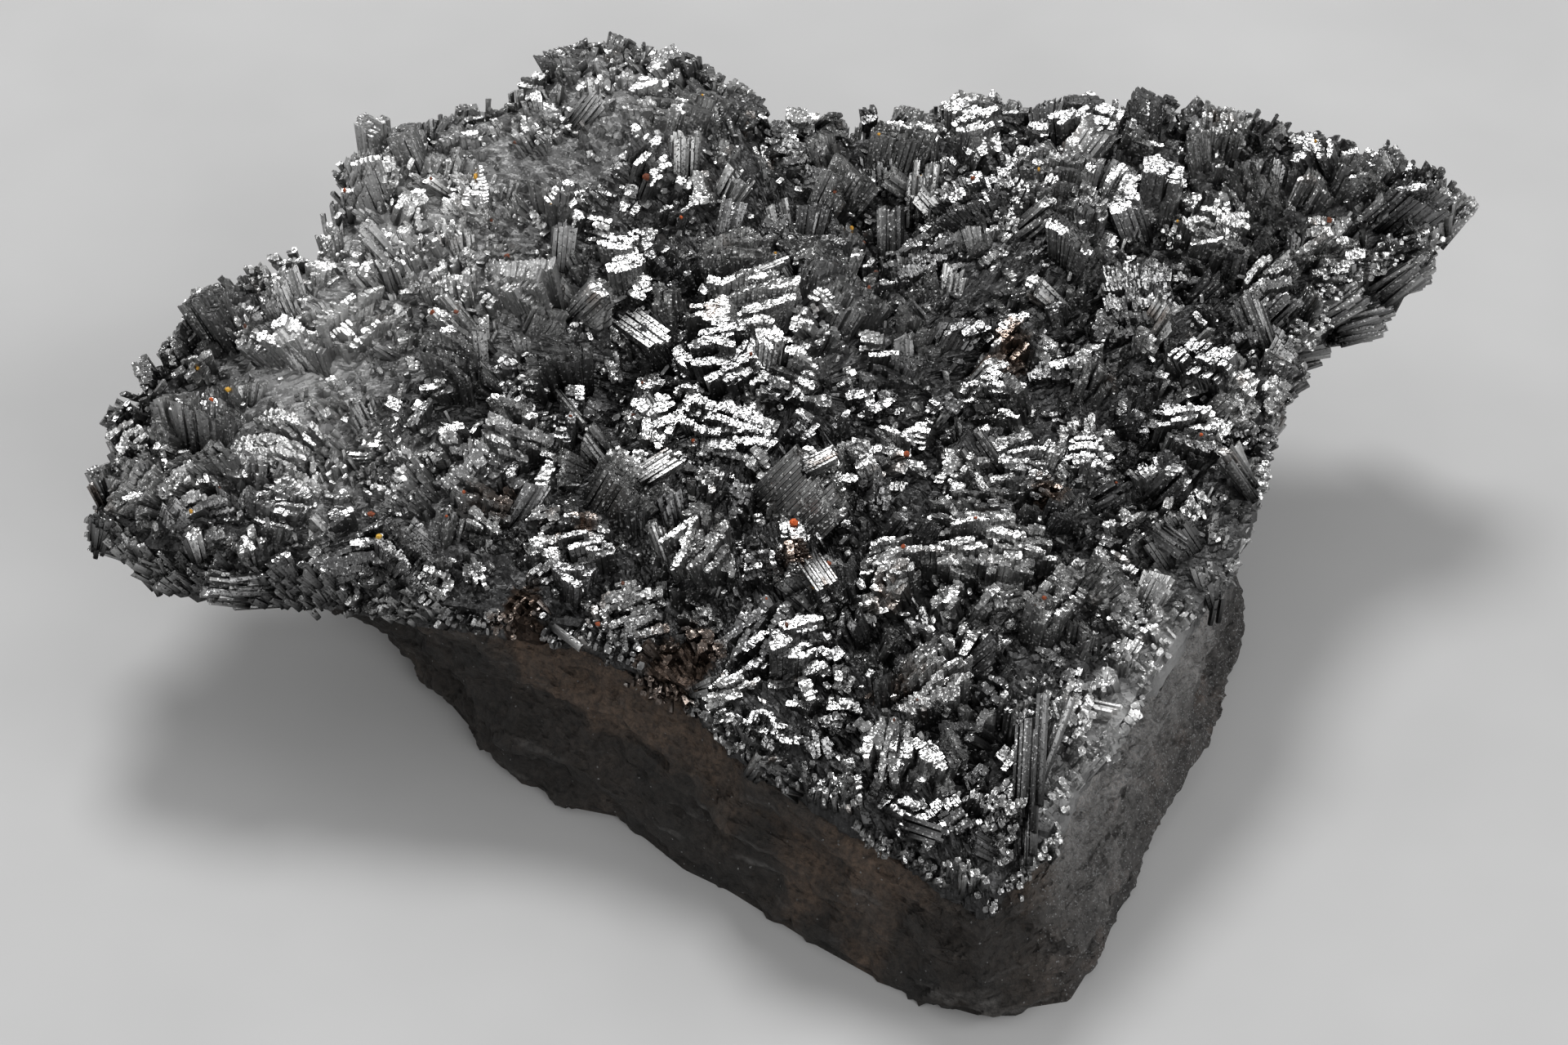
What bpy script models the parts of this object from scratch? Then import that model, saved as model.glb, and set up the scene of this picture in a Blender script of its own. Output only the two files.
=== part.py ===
"""Pyrolusite: a crust of intergrown steel-grey crystals on a piece of dark, iron-stained rock.

Two solids, +Z up, resting on z = 0, with the origin under the middle of the specimen:
matrix         the host rock, broken flat underneath
crystal_crust  sheaves of bladed crystals, grown together in one crust over the rock and its edges
"""

import math

import bmesh
import bpy
import numpy as np

MM = 0.001
SOLVER = "MANIFOLD"  # EXACT leaves open edges where this many crystals overlap
SEED = 25
MIDDLE = np.array([0.3, 0.0, 0.0])  # of the finished specimen: it becomes the origin

# Driving dimensions, in millimetres and degrees.
BED_TILT = 11.0  # the bed that the crystals grow on rises towards the back
BED_FRONT = 6.5  # height of the bed at the front corner
FRONT_Y = -25.0
CENTRE = np.array([0.0, 2.0])  # both outlines are stars round this point
GAP = 0.3  # between rock and crust
REBATE_CLEARANCE = 0.4  # between the rock and the inner side of the crust's lip
CRUST_BODY = 1.7  # solid crust between the bed and the feet of the free crystals
BODY_ROUGHNESS = 0.3
BODY_RINGS = (0.28, 0.52, 0.75, 0.94)  # share of the way out from the middle to the crust's wall
BODY_EDGE = (0.7, -0.5)  # at the wall: share of the swells that is left, and rise above the body
LIP_WIDTH = 2.2  # crust that laps over the rock's edge
LIP_SHOULDER = (0.1, 0.4)  # share of the lip's depth that it is drawn in by, at this share of the way down
LIP_FOOT_RISE = 0.2  # the lip's foot is this much higher on its inner side
ROOT_RISE = (0.7, 1.3)  # the crystals start this far above the bed, inside the crust

# The crust seen from above: front corner, right face, right wing, back, left wing, front-left face.
CRUST_OUTLINE = [
    (8.3, -25.4), (11.3, -22.0), (12.9, -18.7), (15.7, -14.3), (18.6, -9.8), (21.7, -4.2),
    (22.5, 0.2), (24.1, 5.2), (27.4, 10.4), (31.0, 12.2), (33.2, 16.2), (29.5, 18.4),
    (25.2, 20.0), (21.6, 21.4), (17.5, 21.8), (14.2, 21.8), (9.4, 22.4), (4.4, 20.8),
    (-0.5, 20.8), (-2.4, 22.6), (-5.9, 23.8), (-8.8, 25.2), (-11.8, 25.0), (-13.7, 21.8),
    (-17.5, 20.6), (-21.2, 19.0), (-22.9, 16.4), (-23.7, 11.2), (-27.0, 10.2), (-29.3, 9.0),
    (-32.3, 2.0), (-33.2, -4.4), (-31.2, -7.0), (-27.1, -7.8), (-22.5, -8.5), (-17.6, -9.5),
    (-13.8, -10.2), (-10.1, -10.8), (-8.2, -12.0), (-4.7, -14.3), (-3.0, -16.8), (0.9, -20.0),
    (4.2, -22.2), (6.6, -24.2),
]
OUTLINE_STEP = 6.0  # longest side of the outline once it is divided
LEAST_SQUARENESS = 0.5  # keeps an inset from running away where the outline points at the centre

# The rock's footprint on the floor.
BASE_OUTLINE = [
    (11.4, -25.7), (8.2, -25.2), (4.2, -23.4), (2.4, -22.0), (-1.8, -18.1), (-7.1, -14.4),
    (-9.2, -11.2), (-10.6, -12.0), (-15.5, -6.6), (-18.5, -1.0), (-17.0, 6.5), (-11.0, 13.0),
    (-2.0, 16.0), (10.0, 15.5), (18.0, 12.0), (21.5, 6.0), (21.4, 0.5), (20.3, -3.6),
    (17.6, -12.1), (15.2, -16.6), (13.7, -22.2),
]
FOOT_BEVEL = 0.5
SHOULDER_DROP = 0.25  # from the bottom of the rebate out to the top of the rock's sides
ROCK_ROUGHNESS = (0.35, 0.25)  # spread outwards and upwards
ROCK_LEVELS = (0.12, 0.26, 0.38, 0.52, 0.66, 0.8, 0.92)  # share of the way down to the floor
ROCK_LEDGES = (0.3, -0.5, 0.45, -0.35, 0.5, -0.3, 0.2)  # how far each level stands out or in
LEDGE_WAVES = 5  # times that a ledge comes and goes round the rock
LEDGE_TWIST = 9.0  # radians that the waves move on by from the top to the floor
LOWEST_LEDGE = 0.45

# Round the edge, by the angle about CENTRE: how far the crust's wall stands inside its crystals' tips,
# how far the crust laps down over the rock, how far the rock stands back under it, and how quickly the
# rock's underside runs in (1 straight, less is sooner).
RIM = [
    (-73, 0.3, 0.5, 0.0, 1.0), (-60, 0.4, 0.8, 0.1, 1.0), (-20, 0.5, 1.2, 0.1, 1.0),
    (2, 0.6, 1.8, 0.3, 0.9), (12, 1.0, 3.8, 1.2, 0.5), (23, 1.4, 4.6, 2.0, 0.4),
    (33, 1.4, 3.6, 1.6, 0.5), (60, 1.4, 2.6, 1.2, 0.8), (120, 1.4, 2.6, 1.2, 0.8),
    (155, 1.4, 2.4, 1.6, 0.6), (191, 1.4, 2.0, 2.2, 0.4), (204, 1.0, 1.4, 1.6, 0.45),
    (214, 0.5, 0.8, 0.4, 0.8), (235, 0.3, 0.5, 0.0, 1.0), (270, 0.3, 0.5, 0.0, 1.0),
]
LIP_SLANT = 0.45  # the lip's foot is drawn in by this share of its depth

# Swells and hollows of the crust: x, y, height, radius.
RELIEF = [
    (-9.0, 19.5, 2.7, 3.4),  # knob at the back
    (-20.5, 14.0, 0.9, 3.0),
    (-7.5, 3.0, -1.5, 3.2),  # hollow beside the central sheaf
    (-2.8, 3.5, 1.4, 2.8),
    (7.0, 12.5, -0.8, 2.6),
    (13.0, 13.5, 0.9, 3.2),
    (15.0, 1.0, -0.9, 2.6),
    (19.0, 1.5, 0.8, 2.4),
    (5.0, -18.5, 0.9, 3.4),
    (8.5, -9.5, 0.9, 3.2),
    (-5.5, -12.0, -0.9, 1.8),  # notch in the front-left edge
    (-27.0, -5.0, 0.7, 4.0),
]

# The main sheaves. Each row: x and y of the top, height of the top above the swells, lean towards +X
# and towards +Y, turn of the width about the sheaf's axis, width, thickness, plates side by side,
# drop from each plate to the next, how much wider the top is than the foot.
MAIN_SHEAVES = [
    # the centre
    (-2.5, 6.0, 4.1, 3, 8, 4, 5.6, 3.0, 4, 0.50, 1.2),
    (-3.4, 2.6, 3.5, -8, -12, 24, 3.2, 2.6, 3, 0.40, 1.2),
    (-0.4, 2.2, 3.2, 10, -8, -14, 3.6, 2.6, 3, 0.40, 1.2),
    (2.8, 7.8, 3.6, 24, 22, -38, 5.0, 2.2, 2, 0.50, 1.4),
    (-7.4, 6.0, 3.6, -34, 18, 60, 2.4, 1.2, 2, 0.45, 1.0),
    (-8.3, 9.6, 3.5, -6, 4, 0, 3.0, 2.4, 3, 0.25, 1.2),
    (-2.6, 10.6, 3.2, 6, 16, 10, 4.6, 2.2, 2, 0.40, 1.3),
    (-6.6, 1.2, 2.8, -12, -6, 30, 3.2, 2.2, 2, 0.30, 1.2),
    (4.8, 2.0, 3.3, 12, -14, 12, 5.6, 2.6, 4, 0.45, 1.2),
    (4.0, -2.2, 3.0, -6, -10, -20, 4.0, 2.4, 3, 0.35, 1.2),
    # the knob and the back edge
    (-10.8, 21.8, 2.1, -10, 14, 0, 4.4, 2.6, 2, 0.40, 1.2),
    (-7.2, 18.4, 2.8, 4, 2, 12, 3.8, 2.6, 3, 0.35, 1.2),
    (-4.6, 19.2, 3.0, 14, 8, -20, 3.6, 2.4, 2, 0.45, 1.3),
    (-12.8, 17.6, 2.6, -22, 6, 40, 3.6, 2.4, 2, 0.40, 1.2),
    (-2.6, 20.2, 2.4, 22, 14, 0, 3.4, 1.8, 2, 0.30, 1.3),
    (-0.4, 15.8, 2.3, 4, -6, 8, 4.2, 2.2, 2, 0.30, 1.1),
    (2.9, 14.6, 3.6, 28, 10, -52, 4.2, 1.8, 2, 0.60, 1.3),
    (9.0, 19.4, 3.1, 6, 12, 14, 3.4, 2.4, 3, 0.30, 1.2),
    (14.4, 18.8, 3.4, -2, 10, 0, 3.8, 2.4, 3, 0.35, 1.2),
    (17.3, 19.2, 3.7, 4, 12, 70, 1.5, 1.3, 1, 0.00, 1.1),
    (21.2, 18.4, 3.3, 8, 14, 10, 3.6, 2.2, 2, 0.30, 1.3),
    (12.6, 13.8, 3.5, 2, -4, -16, 4.6, 3.2, 4, 0.25, 1.4),
    (18.0, 14.2, 4.1, 8, 12, 78, 4.0, 2.0, 3, 0.35, 1.2),
    (20.7, 11.2, 3.2, 16, -4, 10, 4.0, 2.2, 2, 0.35, 1.2),
    (6.4, 10.0, 3.0, 12, -12, 20, 4.2, 2.6, 2, 0.45, 1.2),
    # the right wing
    (25.1, 16.6, 3.4, -24, 6, 64, 3.6, 1.8, 2, 0.50, 1.2),
    (28.0, 15.8, 3.1, 26, 8, -8, 3.6, 2.0, 2, 0.40, 1.3),
    (31.0, 14.2, 3.0, 44, 10, 0, 3.2, 2.2, 2, 0.35, 1.2),
    (26.0, 10.6, 3.0, 20, -18, 24, 3.8, 2.4, 3, 0.30, 1.3),
    (22.8, 7.8, 3.2, 12, -16, 30, 4.0, 2.4, 3, 0.35, 1.2),
    # the left wing
    (-16.6, 8.0, 3.2, -10, 8, 20, 3.0, 2.0, 2, 0.30, 1.2),
    (-13.4, 8.0, 3.6, -22, 10, -36, 4.2, 1.6, 2, 0.45, 1.5),
    (-24.2, 4.6, 3.7, -30, 16, -24, 4.6, 1.6, 2, 0.55, 1.7),
    (-24.8, 7.8, 3.3, -24, 24, 10, 2.6, 2.2, 2, 0.30, 1.2),
    (-21.6, 14.0, 3.5, -20, 8, 10, 3.4, 2.6, 3, 0.30, 1.2),
    (-20.7, 17.0, 3.7, -4, 14, 60, 1.6, 1.2, 1, 0.00, 1.1),
    (-19.2, 16.8, 3.4, -22, 16, 80, 1.6, 1.2, 1, 0.00, 1.1),
    (-15.8, 17.6, 2.8, -6, 12, 10, 3.6, 2.2, 2, 0.35, 1.2),
    (-28.2, 6.6, 3.6, -28, 18, 70, 1.9, 1.5, 1, 0.00, 1.2),
    (-19.6, 10.0, 3.0, -14, 6, 24, 4.2, 2.4, 2, 0.40, 1.2),
    (-16.2, 3.4, 4.1, -8, 6, -14, 2.6, 2.4, 3, 0.30, 1.2),
    (-12.6, -1.0, 3.5, 2, -10, -6, 4.0, 2.6, 4, 0.30, 1.1),
    (-10.5, 0.4, 3.5, 4, 0, 84, 3.4, 0.8, 1, 0.00, 1.0),
    (-14.8, -3.6, 3.2, 6, -14, 40, 3.2, 1.6, 2, 0.35, 1.6),
    (-27.6, -3.6, 3.2, -34, -10, 16, 4.2, 1.8, 2, 0.45, 1.4),
    (-23.6, -1.8, 2.9, -12, -12, -20, 4.6, 3.0, 3, 0.20, 1.2),
    (-30.8, -4.2, 2.6, -48, -8, 20, 3.6, 2.0, 2, 0.30, 1.3),
    (-27.2, -6.4, 2.3, -26, -34, 4, 4.2, 2.6, 3, 0.30, 1.2),
    (-20.6, -7.6, 2.6, -10, -32, 8, 4.4, 2.8, 3, 0.25, 1.2),
    (-17.2, -8.6, 2.8, 26, -34, -40, 4.6, 1.5, 2, 0.35, 1.6),
    (-14.0, -6.2, 3.3, 14, -24, -24, 5.0, 2.8, 3, 0.45, 1.3),
    # the front-left edge, with its notch
    (-9.6, -7.4, 3.6, -4, -10, 12, 2.8, 2.0, 2, 0.25, 1.1),
    (-7.4, -10.9, 2.6, -6, -40, 6, 3.6, 3.0, 4, 0.25, 1.1),
    (-7.0, -3.8, 3.3, 34, 8, -30, 4.4, 1.8, 2, 0.45, 1.2),
    (-4.4, -7.6, 3.5, -12, -6, 66, 4.0, 2.2, 3, 0.30, 1.3),
    (-1.6, -12.8, 3.2, -24, -18, 50, 4.2, 2.0, 2, 0.45, 1.3),
    (0.4, -13.6, 3.6, 4, -6, 4, 3.2, 2.4, 3, 0.35, 1.1),
    (-2.6, -15.6, 2.6, -22, -26, 24, 3.0, 2.0, 2, 0.30, 1.2),
    (-0.6, -17.8, 2.3, 34, -36, -22, 5.0, 1.4, 2, 0.30, 1.6),
    (4.0, -19.8, 3.5, -8, -14, 76, 3.0, 1.8, 2, 0.35, 1.1),
    (6.4, -19.8, 3.5, 10, -12, -62, 2.8, 1.8, 2, 0.35, 1.1),
    # the front corner and the right face
    (1.4, -4.4, 3.6, 40, 6, -30, 3.8, 1.2, 2, 0.30, 1.0),
    (1.4, -9.6, 3.6, -14, 6, -8, 2.2, 1.2, 2, 0.30, 1.0),
    (4.4, -9.0, 3.5, -6, -4, 4, 3.2, 2.2, 3, 0.30, 1.1),
    (8.8, -8.8, 3.9, 4, -6, 2, 6.4, 2.6, 3, 0.45, 1.1),
    (8.2, -5.8, 3.0, -4, -8, -6, 4.8, 2.2, 3, 0.35, 1.1),
    (5.8, -15.6, 3.5, -6, 2, 18, 4.0, 2.6, 4, 0.30, 1.3),
    (10.6, -17.0, 3.6, 8, 2, 30, 3.2, 2.0, 2, 0.35, 1.1),
    (11.8, -11.2, 3.5, 12, 4, 58, 3.8, 1.4, 2, 0.50, 1.1),
    (14.4, -10.0, 3.0, 30, -12, -48, 4.2, 1.6, 2, 0.45, 1.4),
    (16.2, -7.0, 3.2, -28, -6, 40, 3.4, 1.2, 2, 0.35, 1.0),
    (12.6, -16.4, 2.6, 30, -14, 60, 3.2, 1.8, 2, 0.45, 1.1),
    (18.8, -1.2, 3.2, 14, -10, 10, 3.8, 2.2, 3, 0.35, 1.1),
    (18.7, 2.6, 3.6, -18, -8, -44, 4.0, 1.6, 2, 0.45, 1.2),
    (20.9, 1.4, 3.3, 16, -12, -50, 3.2, 1.3, 2, 0.40, 1.1),
    (10.8, 4.6, 3.6, 10, -14, 34, 3.8, 1.8, 2, 0.50, 1.1),
    (9.2, 1.4, 3.2, -16, -10, -26, 4.0, 2.2, 3, 0.35, 1.2),
    (13.4, -2.0, 2.9, 4, -10, 8, 3.4, 2.4, 3, 0.25, 1.1),
    (8.8, -22.6, 2.8, 12, -22, 20, 3.0, 2.0, 2, 0.40, 1.2),
    (6.0, -22.6, 2.3, -16, -34, 30, 3.0, 1.4, 2, 0.30, 1.2),
]
BROADEN = 1.05  # every main and fill sheaf, so that they crowd together
END_TILT = 15.0  # spread of the slant of the plates' end faces

# The sheaves that fill in round the main ones.
FILL_TRIES = 6000
FILL_SPACING = 3.35
FILL_INSET = 2.2  # they keep this far inside the outline
FILL_HEIGHT = (2.3, 3.4)
FILL_WIDTH = (3.4, 5.2)
FILL_THICKNESS = (2.2, 3.4)
FILL_PLATES = (2, 3)
FILL_DROP = (0.25, 0.6)
FILL_SPLAY = (1.15, 1.6)
OUTWARD_LEAN = 0.75  # degrees of outward lean for each millimetre from the middle
FILL_LEAN = 17.0  # spread about that lean
STEEPEST_LEAN = 46.0

# The crystals that grow out of the crust's edge.
WIDE_LIP = 1.5  # they are only where the crust laps down further than this
EDGE_SPACING = 4.0
EDGE_ROWS = ((0.1, 38), (0.75, 8))  # share of the way down the lip, and how steeply up they point
EDGE_SPREAD = (9.0, 25.0)  # of that slope and of the turn about their own axis
EDGE_HALF_WIDTH = (1.1, 1.7)
EDGE_HALF_THICKNESS = (0.5, 0.8)
EDGE_REACH = (-0.7, 0.3)  # of their tips past the outline
EDGE_RISE = 1.0  # of the top row's tips above the bed
EDGE_ROOT = 0.45  # share of the lip's width that they are rooted in
EDGE_TAPER = 0.7  # foot against tip
EDGE_ROOT_CLEAR = 0.35  # above the lip's foot
EDGE_RAGGED = 0.25

# The columns of RIM after the angle.
WALL, LIP, ROCK_SETBACK, RUN_IN = 1, 2, 3, 4


def angle_of(points):
    offset = np.asarray(points) - CENTRE
    return np.degrees(np.arctan2(offset[..., 1], offset[..., 0]))


def outwards(points):
    """The level direction from the centre to each point."""
    offset = points - CENTRE
    return offset / np.linalg.norm(offset, axis=-1, keepdims=True)


def round_the_rim(points, column):
    """A column of RIM, interpolated at these points' angles."""
    table = np.array(RIM, float)
    return np.interp(angle_of(points), table[:, 0], table[:, column], period=360)


def divided(outline, step):
    """The closed outline with its long sides divided evenly."""
    points = []
    for start, end in zip(outline, outline[1:] + outline[:1]):
        start, end = np.array(start), np.array(end)
        count = max(1, math.ceil(np.linalg.norm(end - start) / step))
        points += [start + (end - start) * k / count for k in range(count)]
    return np.array(points)


def inset(outline, distance):
    """The closed outline moved towards the centre, far enough to stand this distance inside it."""
    along = np.roll(outline, -1, axis=0) - np.roll(outline, 1, axis=0)
    normal = np.column_stack([along[:, 1], -along[:, 0]]) / np.linalg.norm(along, axis=1)[:, None]
    outward = outwards(outline)
    squareness = np.clip((normal * outward).sum(axis=1), LEAST_SQUARENESS, 1.0)
    return outline - outward * (distance / squareness)[:, None]


def bed_height(x, y):
    return BED_FRONT + math.tan(math.radians(BED_TILT)) * (y - FRONT_Y)


def swell(x, y):
    """The crust's own relief, before its crystals."""
    total = 0.0
    for at_x, at_y, height, radius in RELIEF:
        total = total + height * np.exp(-((x - at_x) ** 2 + (y - at_y) ** 2) / (2 * radius**2))
    return total


def with_height(points, height):
    return np.column_stack([points, np.broadcast_to(height, len(points))])


def lofted(name, rings, top, bottom):
    """A closed mesh through rings of equally many points, from the top pole down to the bottom pole."""
    count = len(rings[0])
    points = np.vstack([[top], *rings, [bottom]])
    around = np.arange(count)
    after = (around + 1) % count
    faces = [(0, 1 + i, 1 + j) for i, j in zip(around, after)]
    for ring in range(len(rings) - 1):
        upper, lower = 1 + ring * count, 1 + (ring + 1) * count
        for i, j in zip(around, after):
            faces += [(upper + i, lower + i, lower + j), (upper + i, lower + j, upper + j)]
    last, pole = 1 + (len(rings) - 1) * count, len(points) - 1
    faces += [(pole, last + j, last + i) for i, j in zip(around, after)]
    return mesh_of(name, points, [tuple(map(int, face)) for face in faces])


def mesh_of(name, points, faces):
    mesh = bpy.data.meshes.new(name)
    mesh.from_pydata(((points - MIDDLE) * MM).tolist(), [], faces)
    return mesh


def add_object(mesh):
    made = bpy.data.objects.new(mesh.name, mesh)
    bpy.context.scene.collection.objects.link(made)
    return made


def principled(name, colour, roughness, metallic):
    material = bpy.data.materials.new(name)
    material.use_nodes = True
    shader = material.node_tree.nodes["Principled BSDF"]
    shader.inputs["Base Color"].default_value = (*colour, 1.0)
    shader.inputs["Roughness"].default_value = roughness
    shader.inputs["Metallic"].default_value = metallic
    return material


# ---- the rock


def make_matrix(outline, rng):
    """The host rock: a bed for the crust, a rebate for the crust's lip, broken sides and a flat foot."""
    lip = round_the_rim(outline, LIP)
    drawn_in = round_the_rim(outline, WALL) + lip * LIP_SLANT
    inner = inset(outline, drawn_in + LIP_WIDTH + REBATE_CLEARANCE)
    shoulder = inset(outline, drawn_in + round_the_rim(outline, ROCK_SETBACK))
    base = np.array(sorted(BASE_OUTLINE, key=angle_of))
    reach = np.linalg.norm(base - CENTRE, axis=1)
    outward = outwards(outline)
    foot = CENTRE + outward * np.interp(angle_of(outline), angle_of(base), reach, period=360)[:, None]
    rebate = bed_height(*outline.T) - lip - GAP * 1.5  # a double gap under the lip
    side_top = rebate - SHOULDER_DROP
    rings = [
        with_height(inner, bed_height(*inner.T) - GAP / 2),
        with_height(inner, rebate),
        with_height(shoulder, side_top),
    ]
    spread_out, spread_up = ROCK_ROUGHNESS
    for down, ledge in zip(ROCK_LEVELS, ROCK_LEDGES):
        way = down ** round_the_rim(outline, RUN_IN)
        wave = np.sin(np.radians(angle_of(outline)) * LEDGE_WAVES + down * LEDGE_TWIST)
        out = ledge * wave + rng.normal(0, spread_out, len(outline))
        ring = shoulder + (foot - shoulder) * way[:, None] + outward * out[:, None]
        height = side_top * (1 - down) + rng.normal(0, spread_up, len(outline))
        rings.append(with_height(ring, np.maximum(height, LOWEST_LEDGE)))
    rings.append(with_height(foot - outward * FOOT_BEVEL, 0.0))
    top = (*CENTRE, bed_height(*CENTRE) - GAP / 2)
    rock = add_object(lofted("matrix", rings, top, (*CENTRE, 0.0)))
    rock.data.materials.append(principled("dark_rock", (0.035, 0.027, 0.022), 0.75, 0.0))
    return rock


# ---- the crystals


def axis_of(lean_x, lean_y):
    """The direction that a sheaf grows in."""
    axis = np.array([math.tan(math.radians(lean_x)), math.tan(math.radians(lean_y)), 1.0])
    return axis / np.linalg.norm(axis)


def width_and_thickness(axis, turn):
    """The directions of a sheaf's width and thickness."""
    wide = np.array([1.0, 0.0, 0.0]) - axis * axis[0]
    wide /= np.linalg.norm(wide)
    thick = np.cross(axis, wide)
    cos, sin = math.cos(math.radians(turn)), math.sin(math.radians(turn))
    return wide * cos + thick * sin, thick * cos - wide * sin


def inside(points, outline):
    """Whether each point is inside the star-shaped outline."""
    order = np.argsort(angle_of(outline))
    reach = np.linalg.norm(outline - CENTRE, axis=1)[order]
    limit = np.interp(angle_of(points), angle_of(outline)[order], reach, period=360)
    return np.linalg.norm(points - CENTRE, axis=1) < limit


def fill_sheaves(outline, rng):
    """Sheaves scattered between the main ones, leaning outwards, none closer than FILL_SPACING."""
    placed = [np.array(row[:2]) for row in MAIN_SHEAVES]
    tries = rng.uniform(outline.min(axis=0), outline.max(axis=0), (FILL_TRIES, 2))
    rows = []
    for spot in tries[inside(tries, inset(outline, FILL_INSET))]:
        if min(np.linalg.norm(spot - other) for other in placed) < FILL_SPACING:
            continue
        placed.append(spot)
        lean = (spot - CENTRE) * OUTWARD_LEAN + rng.normal(0, FILL_LEAN, 2)
        turn = rng.uniform(-90, 90)
        ranges = FILL_HEIGHT, FILL_WIDTH, FILL_THICKNESS, FILL_DROP, FILL_SPLAY
        height, width, thickness, drop, splay = (rng.uniform(*limits) for limits in ranges)
        count = int(rng.integers(*FILL_PLATES, endpoint=True))
        lean_x, lean_y = np.clip(lean, -STEEPEST_LEAN, STEEPEST_LEAN)
        rows.append((*spot, height, lean_x, lean_y, turn, width, thickness, count, drop, splay))
    return rows


def stepped_block(sheaf, rng):
    """One sheaf as a closed block: its plates side by side, each ending lower than the one behind it.

    The points are the near side's outline and then the far side's, each in one plane."""
    x, y, height, lean_x, lean_y, turn, width, thickness, count, drop, splay = sheaf
    width, thickness = width * BROADEN, thickness * BROADEN
    axis = axis_of(lean_x, lean_y)
    wide, thick = width_and_thickness(axis, turn)
    tip = np.array([x, y, bed_height(x, y) + swell(x, y) + height])
    edges = np.linspace(-0.5, 0.5, count + 1) * thickness
    root_rise = rng.uniform(*ROOT_RISE)
    along_width = math.tan(math.radians(rng.normal(0, END_TILT)))
    along_thickness = np.tan(np.radians(rng.normal(0, END_TILT, count)))
    narrowing = (1 - 1 / splay) / (height - root_rise)
    points = []
    for side in (-0.5, 0.5):
        corner = tip + wide * side * width
        flank = axis + wide * (side * width * narrowing)
        points.append(to_bed(corner + thick * edges[0] / splay, flank, root_rise))
        for k in range(count):
            for v in edges[k : k + 2]:
                rise = side * width * along_width + (v - edges[k]) * along_thickness[k]
                points.append(corner + thick * v + flank * (rise - drop * (count - 1 - k)))
        points.append(to_bed(corner + thick * edges[-1] / splay, flank, root_rise))
    return np.array(points)


def block_faces(count):
    """The faces of a block between two equal outlines of count points."""
    near, far = range(count), range(count, 2 * count)
    faces = [tuple(near), tuple(reversed(far))]
    for k in range(count):
        after = (k + 1) % count
        faces.append((near[after], near[k], far[k], far[after]))
    return faces


def to_bed(point, along, rise):
    """Where the line through a point comes down to a little above the bed."""
    slope = math.tan(math.radians(BED_TILT))
    above = point[2] - bed_height(point[0], point[1]) - rise
    return point - along * (above / (along[2] - slope * along[1]))


def edge_blocks(outline, rng):
    """Crystals that grow out of the crust's edge, where it laps over the rock."""
    wall = round_the_rim(outline, WALL)
    lip = round_the_rim(outline, LIP)
    travelled = EDGE_SPACING
    for i, point in enumerate(outline):
        travelled += np.linalg.norm(point - outline[i - 1])
        if travelled < EDGE_SPACING or lip[i] < WIDE_LIP:
            continue
        travelled = 0.0
        for level, slope in EDGE_ROWS:
            yield edge_block(point, wall[i], lip[i], level, slope, rng)


def edge_block(point, wall, lip, level, slope, rng):
    """One closed, tapered block that points out of the crust's edge."""
    outward = outwards(point)
    slope_spread, turn_spread = EDGE_SPREAD
    slope = math.radians(slope + rng.normal(0, slope_spread))
    axis = np.array([*(outward * math.cos(slope)), math.sin(slope)])
    wide, thick = width_and_thickness(axis, 90 + rng.normal(0, turn_spread))
    half_wide, half_thick = rng.uniform(*EDGE_HALF_WIDTH), rng.uniform(*EDGE_HALF_THICKNESS)
    height = bed_height(*point) + swell(*point) + EDGE_RISE - level * lip
    reach = rng.uniform(*EDGE_REACH) - level * lip * LIP_SLANT
    tip = np.array([*(point + outward * reach), height])
    root = tip - axis * (wall + LIP_WIDTH * EDGE_ROOT)
    lowest = bed_height(*root[:2]) + GAP / 2 - lip + EDGE_ROOT_CLEAR
    block = []
    for a in (-1, 1):
        for b in (-1, 1):
            offset = wide * a * half_wide + thick * b * half_thick
            foot = root + offset * EDGE_TAPER
            foot[2] = max(foot[2], lowest)
            ends = [foot, tip + offset + axis * rng.uniform(-EDGE_RAGGED, EDGE_RAGGED)]
            block += ends if b < 0 else ends[::-1]
    return np.array(block)


def make_crust_body(outline, rng):
    """The solid part of the crust: a sheet over the bed with a lip down round the rock's edge."""
    lip = round_the_rim(outline, LIP)
    setback = round_the_rim(outline, WALL)
    drawn_in = setback + lip * LIP_SLANT
    wall = inset(outline, setback)
    inner = inset(outline, drawn_in + LIP_WIDTH)
    under = bed_height(*outline.T) + GAP / 2
    swell_share, edge_rise = BODY_EDGE
    shoulder_in, shoulder_down = LIP_SHOULDER
    rings = []
    for share in BODY_RINGS:
        spot = CENTRE + (wall - CENTRE) * share
        height = bed_height(*spot.T) + swell(*spot.T) + CRUST_BODY
        rings.append(with_height(spot, height + rng.normal(0, BODY_ROUGHNESS, len(spot))))
    edge = bed_height(*wall.T) + swell(*wall.T) * swell_share + CRUST_BODY + edge_rise
    rings += [
        with_height(wall, edge),
        with_height(inset(outline, setback + lip * shoulder_in), under - lip * shoulder_down),
        with_height(inset(outline, drawn_in), under - lip),
        with_height(inner, under - lip + LIP_FOOT_RISE),
        with_height(inner, bed_height(*inner.T) + GAP / 2),
    ]
    middle = bed_height(*CENTRE)
    top = (*CENTRE, middle + swell(*CENTRE) + CRUST_BODY)
    return lofted("crystal_crust", rings, top, (*CENTRE, middle + GAP / 2))


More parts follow.
